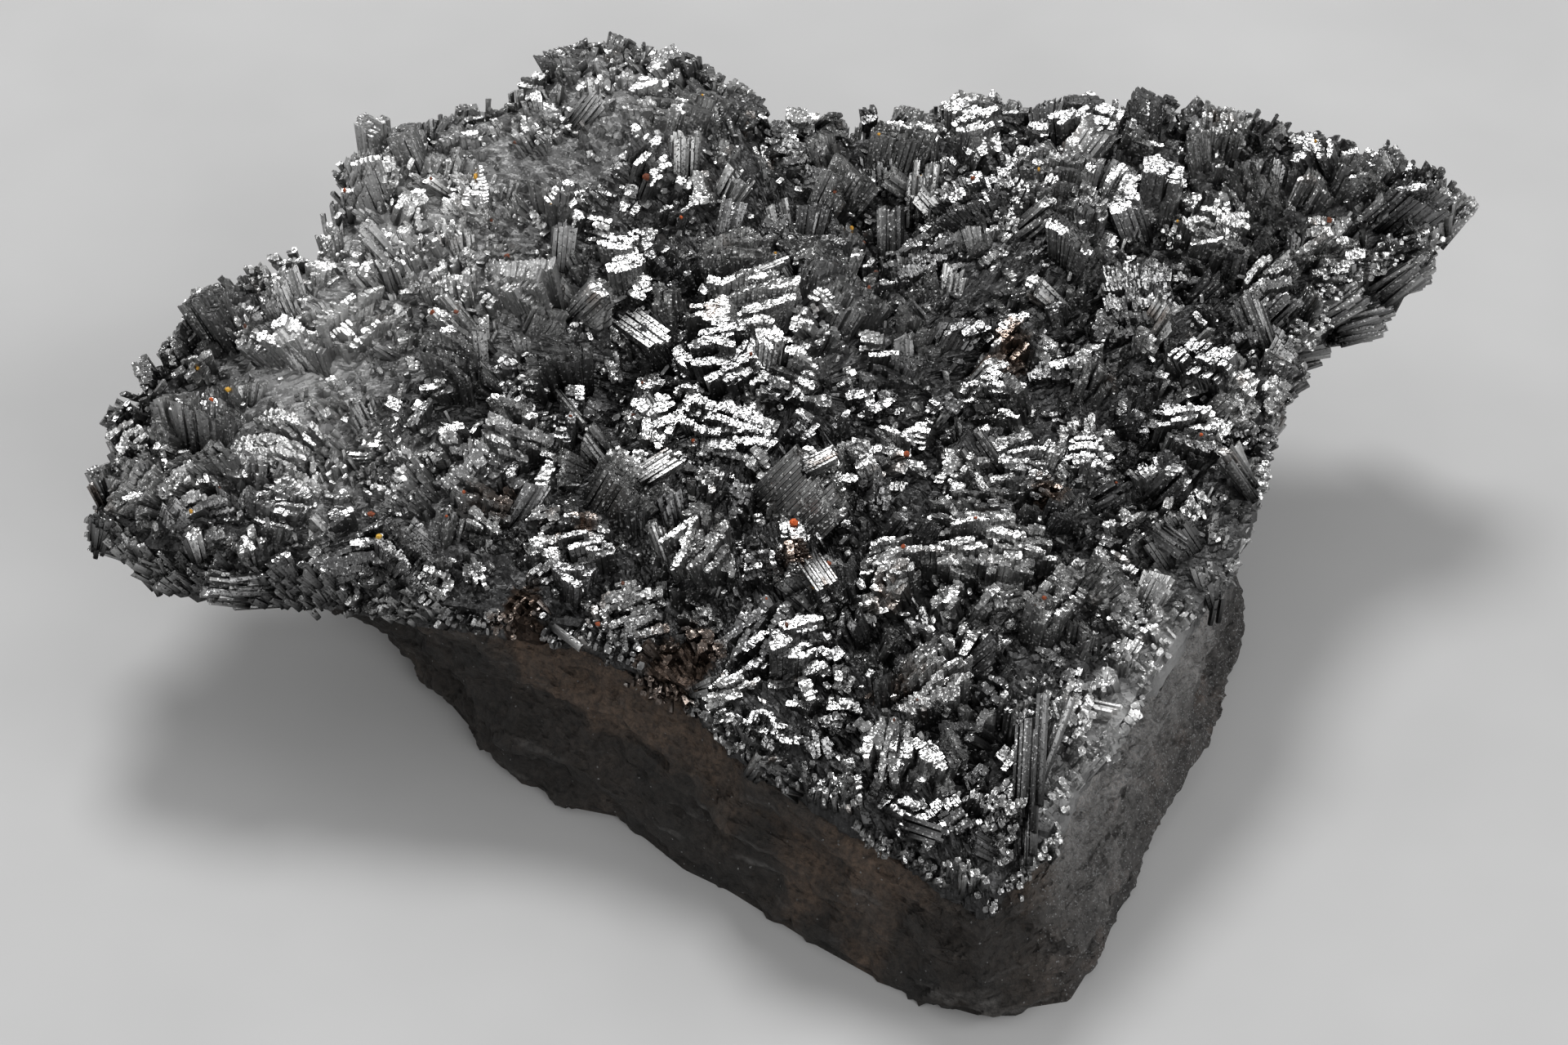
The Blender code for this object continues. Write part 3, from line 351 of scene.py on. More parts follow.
# The main sheaves. Each row: x and y of the top, height of the top above the swells, lean towards +X
# and towards +Y, turn of the width about the sheaf's axis, width, thickness, plates side by side,
# drop from each plate to the next, how much wider the top is than the foot.
MAIN_SHEAVES = [
    # the centre
    (-2.5, 6.0, 4.1, 3, 8, 4, 5.6, 3.0, 4, 0.50, 1.2),
    (-3.4, 2.6, 3.5, -8, -12, 24, 3.2, 2.6, 3, 0.40, 1.2),
    (-0.4, 2.2, 3.2, 10, -8, -14, 3.6, 2.6, 3, 0.40, 1.2),
    (2.8, 7.8, 3.6, 24, 22, -38, 5.0, 2.2, 2, 0.50, 1.4),
    (-7.4, 6.0, 3.6, -34, 18, 60, 2.4, 1.2, 2, 0.45, 1.0),
    (-8.3, 9.6, 3.5, -6, 4, 0, 3.0, 2.4, 3, 0.25, 1.2),
    (-2.6, 10.6, 3.2, 6, 16, 10, 4.6, 2.2, 2, 0.40, 1.3),
    (-6.6, 1.2, 2.8, -12, -6, 30, 3.2, 2.2, 2, 0.30, 1.2),
    (4.8, 2.0, 3.3, 12, -14, 12, 5.6, 2.6, 4, 0.45, 1.2),
    (4.0, -2.2, 3.0, -6, -10, -20, 4.0, 2.4, 3, 0.35, 1.2),
    # the knob and the back edge
    (-10.8, 21.8, 2.1, -10, 14, 0, 4.4, 2.6, 2, 0.40, 1.2),
    (-7.2, 18.4, 2.8, 4, 2, 12, 3.8, 2.6, 3, 0.35, 1.2),
    (-4.6, 19.2, 3.0, 14, 8, -20, 3.6, 2.4, 2, 0.45, 1.3),
    (-12.8, 17.6, 2.6, -22, 6, 40, 3.6, 2.4, 2, 0.40, 1.2),
    (-2.6, 20.2, 2.4, 22, 14, 0, 3.4, 1.8, 2, 0.30, 1.3),
    (-0.4, 15.8, 2.3, 4, -6, 8, 4.2, 2.2, 2, 0.30, 1.1),
    (2.9, 14.6, 3.6, 28, 10, -52, 4.2, 1.8, 2, 0.60, 1.3),
    (9.0, 19.4, 3.1, 6, 12, 14, 3.4, 2.4, 3, 0.30, 1.2),
    (14.4, 18.8, 3.4, -2, 10, 0, 3.8, 2.4, 3, 0.35, 1.2),
    (17.3, 19.2, 3.7, 4, 12, 70, 1.5, 1.3, 1, 0.00, 1.1),
    (21.2, 18.4, 3.3, 8, 14, 10, 3.6, 2.2, 2, 0.30, 1.3),
    (12.6, 13.8, 3.5, 2, -4, -16, 4.6, 3.2, 4, 0.25, 1.4),
    (18.0, 14.2, 4.1, 8, 12, 78, 4.0, 2.0, 3, 0.35, 1.2),
    (20.7, 11.2, 3.2, 16, -4, 10, 4.0, 2.2, 2, 0.35, 1.2),
    (6.4, 10.0, 3.0, 12, -12, 20, 4.2, 2.6, 2, 0.45, 1.2),
    # the right wing
    (25.1, 16.6, 3.4, -24, 6, 64, 3.6, 1.8, 2, 0.50, 1.2),
    (28.0, 15.8, 3.1, 26, 8, -8, 3.6, 2.0, 2, 0.40, 1.3),
    (31.0, 14.2, 3.0, 44, 10, 0, 3.2, 2.2, 2, 0.35, 1.2),
    (26.0, 10.6, 3.0, 20, -18, 24, 3.8, 2.4, 3, 0.30, 1.3),
    (22.8, 7.8, 3.2, 12, -16, 30, 4.0, 2.4, 3, 0.35, 1.2),
    # the left wing
    (-16.6, 8.0, 3.2, -10, 8, 20, 3.0, 2.0, 2, 0.30, 1.2),
    (-13.4, 8.0, 3.6, -22, 10, -36, 4.2, 1.6, 2, 0.45, 1.5),
    (-24.2, 4.6, 3.7, -30, 16, -24, 4.6, 1.6, 2, 0.55, 1.7),
    (-24.8, 7.8, 3.3, -24, 24, 10, 2.6, 2.2, 2, 0.30, 1.2),
    (-21.6, 14.0, 3.5, -20, 8, 10, 3.4, 2.6, 3, 0.30, 1.2),
    (-20.7, 17.0, 3.7, -4, 14, 60, 1.6, 1.2, 1, 0.00, 1.1),
    (-19.2, 16.8, 3.4, -22, 16, 80, 1.6, 1.2, 1, 0.00, 1.1),
    (-15.8, 17.6, 2.8, -6, 12, 10, 3.6, 2.2, 2, 0.35, 1.2),
    (-28.2, 6.6, 3.6, -28, 18, 70, 1.9, 1.5, 1, 0.00, 1.2),
    (-19.6, 10.0, 3.0, -14, 6, 24, 4.2, 2.4, 2, 0.40, 1.2),
    (-16.2, 3.4, 4.1, -8, 6, -14, 2.6, 2.4, 3, 0.30, 1.2),
    (-12.6, -1.0, 3.5, 2, -10, -6, 4.0, 2.6, 4, 0.30, 1.1),
    (-10.5, 0.4, 3.5, 4, 0, 84, 3.4, 0.8, 1, 0.00, 1.0),
    (-14.8, -3.6, 3.2, 6, -14, 40, 3.2, 1.6, 2, 0.35, 1.6),
    (-27.6, -3.6, 3.2, -34, -10, 16, 4.2, 1.8, 2, 0.45, 1.4),
    (-23.6, -1.8, 2.9, -12, -12, -20, 4.6, 3.0, 3, 0.20, 1.2),
    (-30.8, -4.2, 2.6, -48, -8, 20, 3.6, 2.0, 2, 0.30, 1.3),
    (-27.2, -6.4, 2.3, -26, -34, 4, 4.2, 2.6, 3, 0.30, 1.2),
    (-20.6, -7.6, 2.6, -10, -32, 8, 4.4, 2.8, 3, 0.25, 1.2),
    (-17.2, -8.6, 2.8, 26, -34, -40, 4.6, 1.5, 2, 0.35, 1.6),
    (-14.0, -6.2, 3.3, 14, -24, -24, 5.0, 2.8, 3, 0.45, 1.3),
    # the front-left edge, with its notch
    (-9.6, -7.4, 3.6, -4, -10, 12, 2.8, 2.0, 2, 0.25, 1.1),
    (-7.4, -10.9, 2.6, -6, -40, 6, 3.6, 3.0, 4, 0.25, 1.1),
    (-7.0, -3.8, 3.3, 34, 8, -30, 4.4, 1.8, 2, 0.45, 1.2),
    (-4.4, -7.6, 3.5, -12, -6, 66, 4.0, 2.2, 3, 0.30, 1.3),
    (-1.6, -12.8, 3.2, -24, -18, 50, 4.2, 2.0, 2, 0.45, 1.3),
    (0.4, -13.6, 3.6, 4, -6, 4, 3.2, 2.4, 3, 0.35, 1.1),
    (-2.6, -15.6, 2.6, -22, -26, 24, 3.0, 2.0, 2, 0.30, 1.2),
    (-0.6, -17.8, 2.3, 34, -36, -22, 5.0, 1.4, 2, 0.30, 1.6),
    (4.0, -19.8, 3.5, -8, -14, 76, 3.0, 1.8, 2, 0.35, 1.1),
    (6.4, -19.8, 3.5, 10, -12, -62, 2.8, 1.8, 2, 0.35, 1.1),
    # the front corner and the right face
    (1.4, -4.4, 3.6, 40, 6, -30, 3.8, 1.2, 2, 0.30, 1.0),
    (1.4, -9.6, 3.6, -14, 6, -8, 2.2, 1.2, 2, 0.30, 1.0),
    (4.4, -9.0, 3.5, -6, -4, 4, 3.2, 2.2, 3, 0.30, 1.1),
    (8.8, -8.8, 3.9, 4, -6, 2, 6.4, 2.6, 3, 0.45, 1.1),
    (8.2, -5.8, 3.0, -4, -8, -6, 4.8, 2.2, 3, 0.35, 1.1),
    (5.8, -15.6, 3.5, -6, 2, 18, 4.0, 2.6, 4, 0.30, 1.3),
    (10.6, -17.0, 3.6, 8, 2, 30, 3.2, 2.0, 2, 0.35, 1.1),
    (11.8, -11.2, 3.5, 12, 4, 58, 3.8, 1.4, 2, 0.50, 1.1),
    (14.4, -10.0, 3.0, 30, -12, -48, 4.2, 1.6, 2, 0.45, 1.4),
    (16.2, -7.0, 3.2, -28, -6, 40, 3.4, 1.2, 2, 0.35, 1.0),
    (12.6, -16.4, 2.6, 30, -14, 60, 3.2, 1.8, 2, 0.45, 1.1),
    (18.8, -1.2, 3.2, 14, -10, 10, 3.8, 2.2, 3, 0.35, 1.1),
    (18.7, 2.6, 3.6, -18, -8, -44, 4.0, 1.6, 2, 0.45, 1.2),
    (20.9, 1.4, 3.3, 16, -12, -50, 3.2, 1.3, 2, 0.40, 1.1),
    (10.8, 4.6, 3.6, 10, -14, 34, 3.8, 1.8, 2, 0.50, 1.1),
    (9.2, 1.4, 3.2, -16, -10, -26, 4.0, 2.2, 3, 0.35, 1.2),
    (13.4, -2.0, 2.9, 4, -10, 8, 3.4, 2.4, 3, 0.25, 1.1),
    (8.8, -22.6, 2.8, 12, -22, 20, 3.0, 2.0, 2, 0.40, 1.2),
    (6.0, -22.6, 2.3, -16, -34, 30, 3.0, 1.4, 2, 0.30, 1.2),
]
BROADEN = 1.05  # every main and fill sheaf, so that they crowd together
END_TILT = 15.0  # spread of the slant of the plates' end faces

# The sheaves that fill in round the main ones.
FILL_TRIES = 6000
FILL_SPACING = 3.35
FILL_INSET = 2.2  # they keep this far inside the outline
FILL_HEIGHT = (2.3, 3.4)
FILL_WIDTH = (3.4, 5.2)
FILL_THICKNESS = (2.2, 3.4)
FILL_PLATES = (2, 3)
FILL_DROP = (0.25, 0.6)
FILL_SPLAY = (1.15, 1.6)
OUTWARD_LEAN = 0.75  # degrees of outward lean for each millimetre from the middle
FILL_LEAN = 17.0  # spread about that lean
STEEPEST_LEAN = 46.0

# The crystals that grow out of the crust's edge.
WIDE_LIP = 1.5  # they are only where the crust laps down further than this
EDGE_SPACING = 4.0
EDGE_ROWS = ((0.1, 38), (0.75, 8))  # share of the way down the lip, and how steeply up they point
EDGE_SPREAD = (9.0, 25.0)  # of that slope and of the turn about their own axis
EDGE_HALF_WIDTH = (1.1, 1.7)
EDGE_HALF_THICKNESS = (0.5, 0.8)
EDGE_REACH = (-0.7, 0.3)  # of their tips past the outline
EDGE_RISE = 1.0  # of the top row's tips above the bed
EDGE_ROOT = 0.45  # share of the lip's width that they are rooted in
EDGE_TAPER = 0.7  # foot against tip
EDGE_ROOT_CLEAR = 0.35  # above the lip's foot
EDGE_RAGGED = 0.25

# The columns of RIM after the angle.
WALL, LIP, ROCK_SETBACK, RUN_IN = 1, 2, 3, 4


def angle_of(points):
    offset = np.asarray(points) - CENTRE
    return np.degrees(np.arctan2(offset[..., 1], offset[..., 0]))


def outwards(points):
    """The level direction from the centre to each point."""
    offset = points - CENTRE
    return offset / np.linalg.norm(offset, axis=-1, keepdims=True)


def round_the_rim(points, column):
    """A column of RIM, interpolated at these points' angles."""
    table = np.array(RIM, float)
    return np.interp(angle_of(points), table[:, 0], table[:, column], period=360)


def divided(outline, step):
    """The closed outline with its long sides divided evenly."""
    points = []
    for start, end in zip(outline, outline[1:] + outline[:1]):
        start, end = np.array(start), np.array(end)
        count = max(1, math.ceil(np.linalg.norm(end - start) / step))
        points += [start + (end - start) * k / count for k in range(count)]
    return np.array(points)


def inset(outline, distance):
    """The closed outline moved towards the centre, far enough to stand this distance inside it."""
    along = np.roll(outline, -1, axis=0) - np.roll(outline, 1, axis=0)
    normal = np.column_stack([along[:, 1], -along[:, 0]]) / np.linalg.norm(along, axis=1)[:, None]
    outward = outwards(outline)
    squareness = np.clip((normal * outward).sum(axis=1), LEAST_SQUARENESS, 1.0)
    return outline - outward * (distance / squareness)[:, None]


def bed_height(x, y):
    return BED_FRONT + math.tan(math.radians(BED_TILT)) * (y - FRONT_Y)


def swell(x, y):
    """The crust's own relief, before its crystals."""
    total = 0.0
    for at_x, at_y, height, radius in RELIEF:
        total = total + height * np.exp(-((x - at_x) ** 2 + (y - at_y) ** 2) / (2 * radius**2))
    return total


def axis_of(lean_x, lean_y):
    """The direction that a sheaf grows in."""
    axis = np.array([math.tan(math.radians(lean_x)), math.tan(math.radians(lean_y)), 1.0])
    return axis / np.linalg.norm(axis)


def width_and_thickness(axis, turn):
    """The directions of a sheaf's width and thickness."""
    wide = np.array([1.0, 0.0, 0.0]) - axis * axis[0]
    wide /= np.linalg.norm(wide)
    thick = np.cross(axis, wide)
    cos, sin = math.cos(math.radians(turn)), math.sin(math.radians(turn))
    return wide * cos + thick * sin, thick * cos - wide * sin


def inside(points, outline):
    """Whether each point is inside the star-shaped outline."""
    order = np.argsort(angle_of(outline))
    reach = np.linalg.norm(outline - CENTRE, axis=1)[order]
    limit = np.interp(angle_of(points), angle_of(outline)[order], reach, period=360)
    return np.linalg.norm(points - CENTRE, axis=1) < limit


def fill_sheaves(outline, rng):
    """Sheaves scattered between the main ones, leaning outwards, none closer than FILL_SPACING."""
    placed = [np.array(row[:2]) for row in MAIN_SHEAVES]
    tries = rng.uniform(outline.min(axis=0), outline.max(axis=0), (FILL_TRIES, 2))
    rows = []
    for spot in tries[inside(tries, inset(outline, FILL_INSET))]:
        if min(np.linalg.norm(spot - other) for other in placed) < FILL_SPACING:
            continue
        placed.append(spot)
        lean = (spot - CENTRE) * OUTWARD_LEAN + rng.normal(0, FILL_LEAN, 2)
        turn = rng.uniform(-90, 90)
        ranges = FILL_HEIGHT, FILL_WIDTH, FILL_THICKNESS, FILL_DROP, FILL_SPLAY
        height, width, thickness, drop, splay = (rng.uniform(*limits) for limits in ranges)
        count = int(rng.integers(*FILL_PLATES, endpoint=True))
        lean_x, lean_y = np.clip(lean, -STEEPEST_LEAN, STEEPEST_LEAN)
        rows.append((*spot, height, lean_x, lean_y, turn, width, thickness, count, drop, splay))
    return rows


def edge_blocks(outline, rng):
    """Crystals that grow out of the crust's edge, where it laps over the rock."""
    wall = round_the_rim(outline, WALL)
    lip = round_the_rim(outline, LIP)
    travelled = EDGE_SPACING
    for i, point in enumerate(outline):
        travelled += np.linalg.norm(point - outline[i - 1])
        if travelled < EDGE_SPACING or lip[i] < WIDE_LIP:
            continue
        travelled = 0.0
        for level, slope in EDGE_ROWS:
            yield edge_block(point, wall[i], lip[i], level, slope, rng)


def edge_block(point, wall, lip, level, slope, rng):
    """One closed, tapered block that points out of the crust's edge."""
    outward = outwards(point)
    slope_spread, turn_spread = EDGE_SPREAD
    slope = math.radians(slope + rng.normal(0, slope_spread))
    axis = np.array([*(outward * math.cos(slope)), math.sin(slope)])
    wide, thick = width_and_thickness(axis, 90 + rng.normal(0, turn_spread))
    half_wide, half_thick = rng.uniform(*EDGE_HALF_WIDTH), rng.uniform(*EDGE_HALF_THICKNESS)
    height = bed_height(*point) + swell(*point) + EDGE_RISE - level * lip
    reach = rng.uniform(*EDGE_REACH) - level * lip * LIP_SLANT
    tip = np.array([*(point + outward * reach), height])
    root = tip - axis * (wall + LIP_WIDTH * EDGE_ROOT)
    lowest = bed_height(*root[:2]) + GAP / 2 - lip + EDGE_ROOT_CLEAR
    block = []
    for a in (-1, 1):
        for b in (-1, 1):
            offset = wide * a * half_wide + thick * b * half_thick
            foot = root + offset * EDGE_TAPER
            foot[2] = max(foot[2], lowest)
            ends = [foot, tip + offset + axis * rng.uniform(-EDGE_RAGGED, EDGE_RAGGED)]
            block += ends if b < 0 else ends[::-1]
    return np.array(block)


def metres(points):
    return (points - MIDDLE) * MM


def unit(vectors):
    return vectors / np.linalg.norm(vectors, axis=-1, keepdims=True)


def by_angle(table, angles):
    """A list of angles and values, interpolated at these angles."""
    return np.interp(angles, *zip(*table), period=360)


def with_height(points, height):
    return np.column_stack([points, np.broadcast_to(height, len(points))])


def nearness(points, areas):
    """How far places lie within round areas with soft edges, from 0 to 1."""
    x, y = points[..., 0], points[..., 1]
    total = 0.0
    for at_x, at_y, radius, strength in areas:
        total = total + strength * np.exp(-((x - at_x) ** 2 + (y - at_y) ** 2) / (2 * radius**2))
    return np.clip(total, 0.0, 1.0)


def new_object(name, data):
    made = bpy.data.objects.new(name, data)
    bpy.context.scene.collection.objects.link(made)
    return made


# ---- materials


class Nodes:
    """The nodes of one tree; wherever a value is wanted, another node's output will do."""

    def __init__(self, tree):
        self.tree = tree

    def put(self, socket, value):
        if isinstance(value, bpy.types.NodeSocket):
            self.tree.links.new(value, socket)
        else:
            socket.default_value = (*value, 1.0) if socket.type == "RGBA" else value

    def add(self, kind, inputs=None, **settings):
        made = self.tree.nodes.new("ShaderNode" + kind)
        for name, value in settings.items():
            setattr(made, name, value)
        for name, value in (inputs or {}).items():
            self.put(made.inputs[name], value)
        return made

    def shade(self, **values):
        """Sets the shader's inputs; an underscore stands for the space in a name."""
        for name, value in values.items():
            self.put(self.tree.nodes["Principled BSDF"].inputs[name.replace("_", " ")], value)

    def place(self, output="Object"):
        return self.add("TexCoord").outputs[output]

    def attribute(self, name, output="Fac"):
        return self.add("Attribute", attribute_name=name).outputs[output]

    def math(self, operation, *values, clamp=False):
        return self.add("Math", dict(enumerate(values)), operation=operation, use_clamp=clamp).outputs[0]

    def vector(self, operation, first, second):
        inputs = {0: first, "Scale" if operation == "SCALE" else 1: second}
        return self.add("VectorMath", inputs, operation=operation).outputs[0]

    def noise(self, place, scale, detail, roughness=0.5):
        inputs = {"Vector": place, "Scale": scale, "Detail": detail, "Roughness": roughness}
        return self.add("TexNoise", inputs).outputs["Fac"]

    def stretched(self, place, scale):
        return self.add("Mapping", {"Vector": place, "Scale": scale}).outputs[0]

    def cells(self, place, size):
        """Cells of about this size: their colours, the red of those alone, and the distance to the middle."""
        made = self.add("TexVoronoi", {"Vector": place, "Scale": 1 / (size * MM)})
        colour = made.outputs["Color"]
        return colour, self.add("SeparateColor", {0: colour}).outputs[0], made.outputs["Distance"]

    def tilts(self, colour, strength):
        """A tilt for each cell, from its colour."""
        return self.vector("SCALE", self.vector("SUBTRACT", colour, (0.5, 0.5, 0.5)), strength)

    def ramp(self, factor, *stops):
        """A colour ramp; each stop is its place and its colour or grey."""
        made = self.add("ValToRGB", {"Fac": factor})
        elements = made.color_ramp.elements
        while len(elements) < len(stops):
            elements.new(1.0)
        for element, (place, colour) in zip(elements, stops):
            element.position = place
            element.color = (*(colour if isinstance(colour, tuple) else (colour,) * 3), 1.0)
        return made.outputs["Color"]

    def mix(self, factor, first, second, blend="MIX"):
        made = self.add("Mix", data_type="RGBA", blend_type=blend)
        for socket, value in zip((made.inputs[0], *made.inputs[6:8]), (factor, first, second)):
            self.put(socket, value)
        return made.outputs[2]

    def multiplied(self, first, second):
        return self.mix(1.0, first, second, "MULTIPLY")

    def bump(self, height, strength, distance, **normal):
        inputs = {"Height": height, "Strength": strength, "Distance": distance * MM, **normal}
        return self.add("Bump", inputs).outputs["Normal"]


def new_material(name):
    material = bpy.data.materials.new(name)
    material.use_nodes = True
    return material, Nodes(material.node_tree)


def crystal_material(name, low, middle, high, cap_roughness, side_roughness):
    """Metallic manganese dioxide: striated along each blade, with finely broken, glittering ends."""
    material, n = new_material(name)
    tone, depth, cap, pale = (n.attribute(label) for label in ("tone", "depth", "cap", "pale"))
    place = n.place()
    striae = n.noise(n.vector("MULTIPLY", n.attribute("grain", "Vector"), STRIA_STRETCH), 1.0, 3.0)
    stain = n.noise(place, 450.0, 4.0)

    colour = n.ramp(tone, (0.0, low), (0.55, middle), (1.0, high))
    colour = n.multiplied(colour, n.ramp(striae, (0.38, 0.55), (0.62, 1.0)))
    rust = n.math("MULTIPLY", n.attribute("rust"), 0.5)
    brown = n.math("MULTIPLY_ADD", stain, n.math("MULTIPLY_ADD", tone, 0.8, rust), rust)
    colour = n.mix(n.ramp(brown, (0.44, 0.0), (0.56, 0.75)), colour, BROWN_STAIN)
    # Paler where the crystals are finer: partly their own paler grey, partly a painted sheen for their many
    # small glints.
    colour = n.mix(n.math("MULTIPLY", pale, 0.75), colour, PALE_TINT_AND_SHEEN)
    # Painted shade: darker down each blade towards its root, and on the ground between the crystals.
    colour = n.multiplied(colour, n.ramp(depth, (0.0, 1.0), (0.45, 0.6), (0.95, 0.07)))

    ranged = n.add("MapRange", {"Value": cap, "To Min": side_roughness, "To Max": cap_roughness})
    roughness = n.math("ADD", ranged.outputs[0], n.math("MULTIPLY", stain, 0.12))
    roughness = n.math("MULTIPLY_ADD", pale, 0.22, roughness, clamp=True)

    facets, _, _ = n.cells(place, FACET_SIZE)
    uneven = n.math("MULTIPLY", cap, n.math("ADD", tone, SMOOTHEST_END))
    tilt = n.tilts(facets, n.math("MULTIPLY_ADD", uneven, CAP_FACETS, SIDE_FACETS))
    specks, pick, _ = n.cells(place, SPECK_SIZE)
    strength = n.math("MULTIPLY", n.math("GREATER_THAN", pick, 1 - SPECK_SHARE), SPECK_TILT)
    tilt = n.vector("ADD", tilt, n.tilts(specks, strength))
    sparkle = n.vector("SCALE", SPARKLE_FACING, n.math("LESS_THAN", pick, SPARKLE_SHARE))
    tilt = n.vector("ADD", tilt, sparkle)
    facing = n.vector("ADD", n.add("NewGeometry").outputs["Normal"], tilt)
    facing = n.add("VectorMath", {0: facing}, operation="NORMALIZE").outputs[0]
    normal = n.bump(striae, 0.5, STRIA_DEPTH, Normal=facing)
    n.shade(Base_Color=colour, Roughness=roughness, Metallic=1.0, Normal=normal)
    return material


def rock_material():
    """Dark brown-black broken rock: rusty under the crust, with grey streaks and metallic flakes."""
    material, n = new_material("host_rock")
    place = n.place()
    under, side = n.attribute("under"), n.attribute("side")
    near_top = n.ramp(under, (0.0, 1.0), (0.12, 0.85), (0.4, 0.0))
    broad = n.noise(place, 260.0, 6.0, 0.62)
    fine = n.noise(place, 1500.0, 5.0, 0.7)
    mottle = n.noise(place, 3200.0, 5.0, 0.7)

    # The front-left colours: the rock's own dark browns, set darker still as painted shade.
    lighter = n.math("MULTIPLY_ADD", near_top, 0.11, broad)
    colour = n.ramp(lighter, (0.38, ROCK_BLACK), (0.58, ROCK_BROWN), (0.75, ROCK_TAN))
    right = n.ramp(broad, (0.3, RIGHT_DARK), (0.52, RIGHT_GREY), (0.7, RIGHT_PINK))
    # Right side: greyer colours, pale near the crust; that pale band is partly the lip's own grey and partly
    # a painted sheen.
    colour = n.mix(side, colour, n.mix(n.ramp(under, *PALE_DOWN), right, RIGHT_PALE))

    near = n.math("MULTIPLY", near_top, n.math("MULTIPLY_ADD", n.attribute("rust"), 0.3, 0.08))
    patches = n.math("ADD", n.noise(place, 170.0, 7.0, 0.6), near)
    rusty = n.math("MULTIPLY", n.ramp(patches, (0.58, 0.0), (0.72, 0.6)), n.math("SUBTRACT", 1.0, side))
    colour = n.mix(rusty, colour, n.ramp(fine, (0.3, RUST_DARK), (0.7, RUST_BRIGHT)))

    veins = n.noise(n.stretched(place, (220.0, 220.0, 1400.0)), 1.0, 5.0)
    colour = n.mix(n.ramp(veins, (0.6, 0.0), (0.75, 0.5)), colour, VEIN_GREY)
    colour = n.multiplied(colour, n.ramp(mottle, (0.35, 0.3), (0.5, 0.75), (0.65, 1.0)))
    fibres = n.noise(n.stretched(place, (1300.0, 1300.0, 230.0)), 1.0, 4.0)
    streaked = n.multiplied(colour, n.ramp(fibres, (0.35, 0.5), (0.65, 1.0)))
    colour = n.mix(side, colour, streaked)

    _, pick, _ = n.cells(place, FLAKE_SIZE)
    crowded = n.math("MULTIPLY_ADD", near_top, 0.35, 0.12)
    crowded = n.math("MULTIPLY_ADD", n.math("SUBTRACT", broad, 0.5), 0.5, crowded)
    share = n.math("SUBTRACT", 1.0 - FEWEST_FLAKES, n.math("MULTIPLY", crowded, side))
    shiny = n.math("GREATER_THAN", pick, share)
    colour = n.mix(shiny, colour, FLAKE_GREY)
    roughness = n.mix(shiny, n.ramp(fine, (0.3, 0.6), (0.7, 0.92)), (0.35,) * 3)

    _, _, chips = n.cells(place, CHIP_SIZE)
    relief = n.math("MULTIPLY_ADD", fine, 0.6, broad)
    relief = n.math("MULTIPLY_ADD", chips, 0.4, relief)
    relief = n.math("MULTIPLY_ADD", mottle, 0.3, relief)
    n.shade(Base_Color=colour, Roughness=roughness, Metallic=shiny, Normal=n.bump(relief, 1.0, 0.7))
    return material


def grain_material():
    """Iron ochre grains, each its own colour from rust to yellow."""
    material, n = new_material("ochre_grain")
    speckle = n.noise(n.place(), 7000.0, 4.0)
    colour = n.ramp(n.attribute("tone"), (0.0, RUST_DARK), (0.45, GRAIN_ORANGE), (1.0, GRAIN_YELLOW))
    colour = n.multiplied(colour, n.ramp(speckle, (0.3, 0.5), (0.7, 1.0)))
    n.shade(Base_Color=colour, Roughness=0.7, Normal=n.bump(speckle, 0.8, 0.05))
    return material


def floor_material():
    material, n = new_material("studio_floor")
    dark, pale = FLOOR_GREY
    n.shade(Base_Color=n.ramp(n.noise(n.place(), 60.0, 3.0), (0.3, dark), (0.7, pale)), Roughness=0.8)
    return material


# ---- meshes


def add_mesh(name, points, corners, starts, material, attributes, slot=None):
    """A flat-shaded mesh from millimetre points; an attribute has a value for each point or for each face."""
    mesh = bpy.data.meshes.new(name)
    mesh.vertices.add(len(points))
    mesh.vertices.foreach_set("co", metres(points).astype(np.float32).ravel())
    mesh.loops.add(len(corners))
    mesh.loops.foreach_set("vertex_index", np.asarray(corners, np.int32))
    mesh.polygons.add(len(starts))
    mesh.polygons.foreach_set("loop_start", np.asarray(starts, np.int32))
    mesh.update(calc_edges=True)
    mesh.shade_flat()
    for label, values in attributes.items():
        values = np.asarray(values, np.float32).ravel()
        kind, field = ("FLOAT_VECTOR", "vector") if len(values) == 3 * len(points) else ("FLOAT", "value")
        domain = "FACE" if len(values) == len(starts) else "POINT"
        mesh.attributes.new(label, kind, domain).data.foreach_set(field, values)
    mesh.materials.append(material)
    piece = new_object(name, mesh)
    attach(piece, "root")
    return piece


def blade_faces(count):
    """The corners and starts of the faces of so many blades: six sides and two ends each."""
    corners = []
    for i in range(SIDES):
        j = (i + 1) % SIDES
        corners += [i, j, SIDES + j, SIDES + i]
    corners += [*range(SIDES, 2 * SIDES), *reversed(range(SIDES))]
    starts = [*range(0, 4 * SIDES, 4), 4 * SIDES, 5 * SIDES]
    each = np.arange(count)[:, None]
    return (np.array(corners) + each * 2 * SIDES).ravel(), (np.array(starts) + each * 6 * SIDES).ravel()


def blade_set(**parts):
    """Blades by their tips, roots, directions and looks; what they all share is given once."""
    count = len(parts["tip"])
    columns = {"tip": 3, "root": 3, "wide": 3, "thick": 3, "half": 2, "cap": 3}
    shapes = {key: (count, columns[key]) if key in columns else (count,) for key in parts}
    return {key: np.broadcast_to(value, shapes[key]) for key, value in parts.items()}


def stacked(groups):
    """Several sets of blades as one."""
    groups = list(groups)
    return {key: np.concatenate([group[key] for group in groups]) for key in groups[0]}


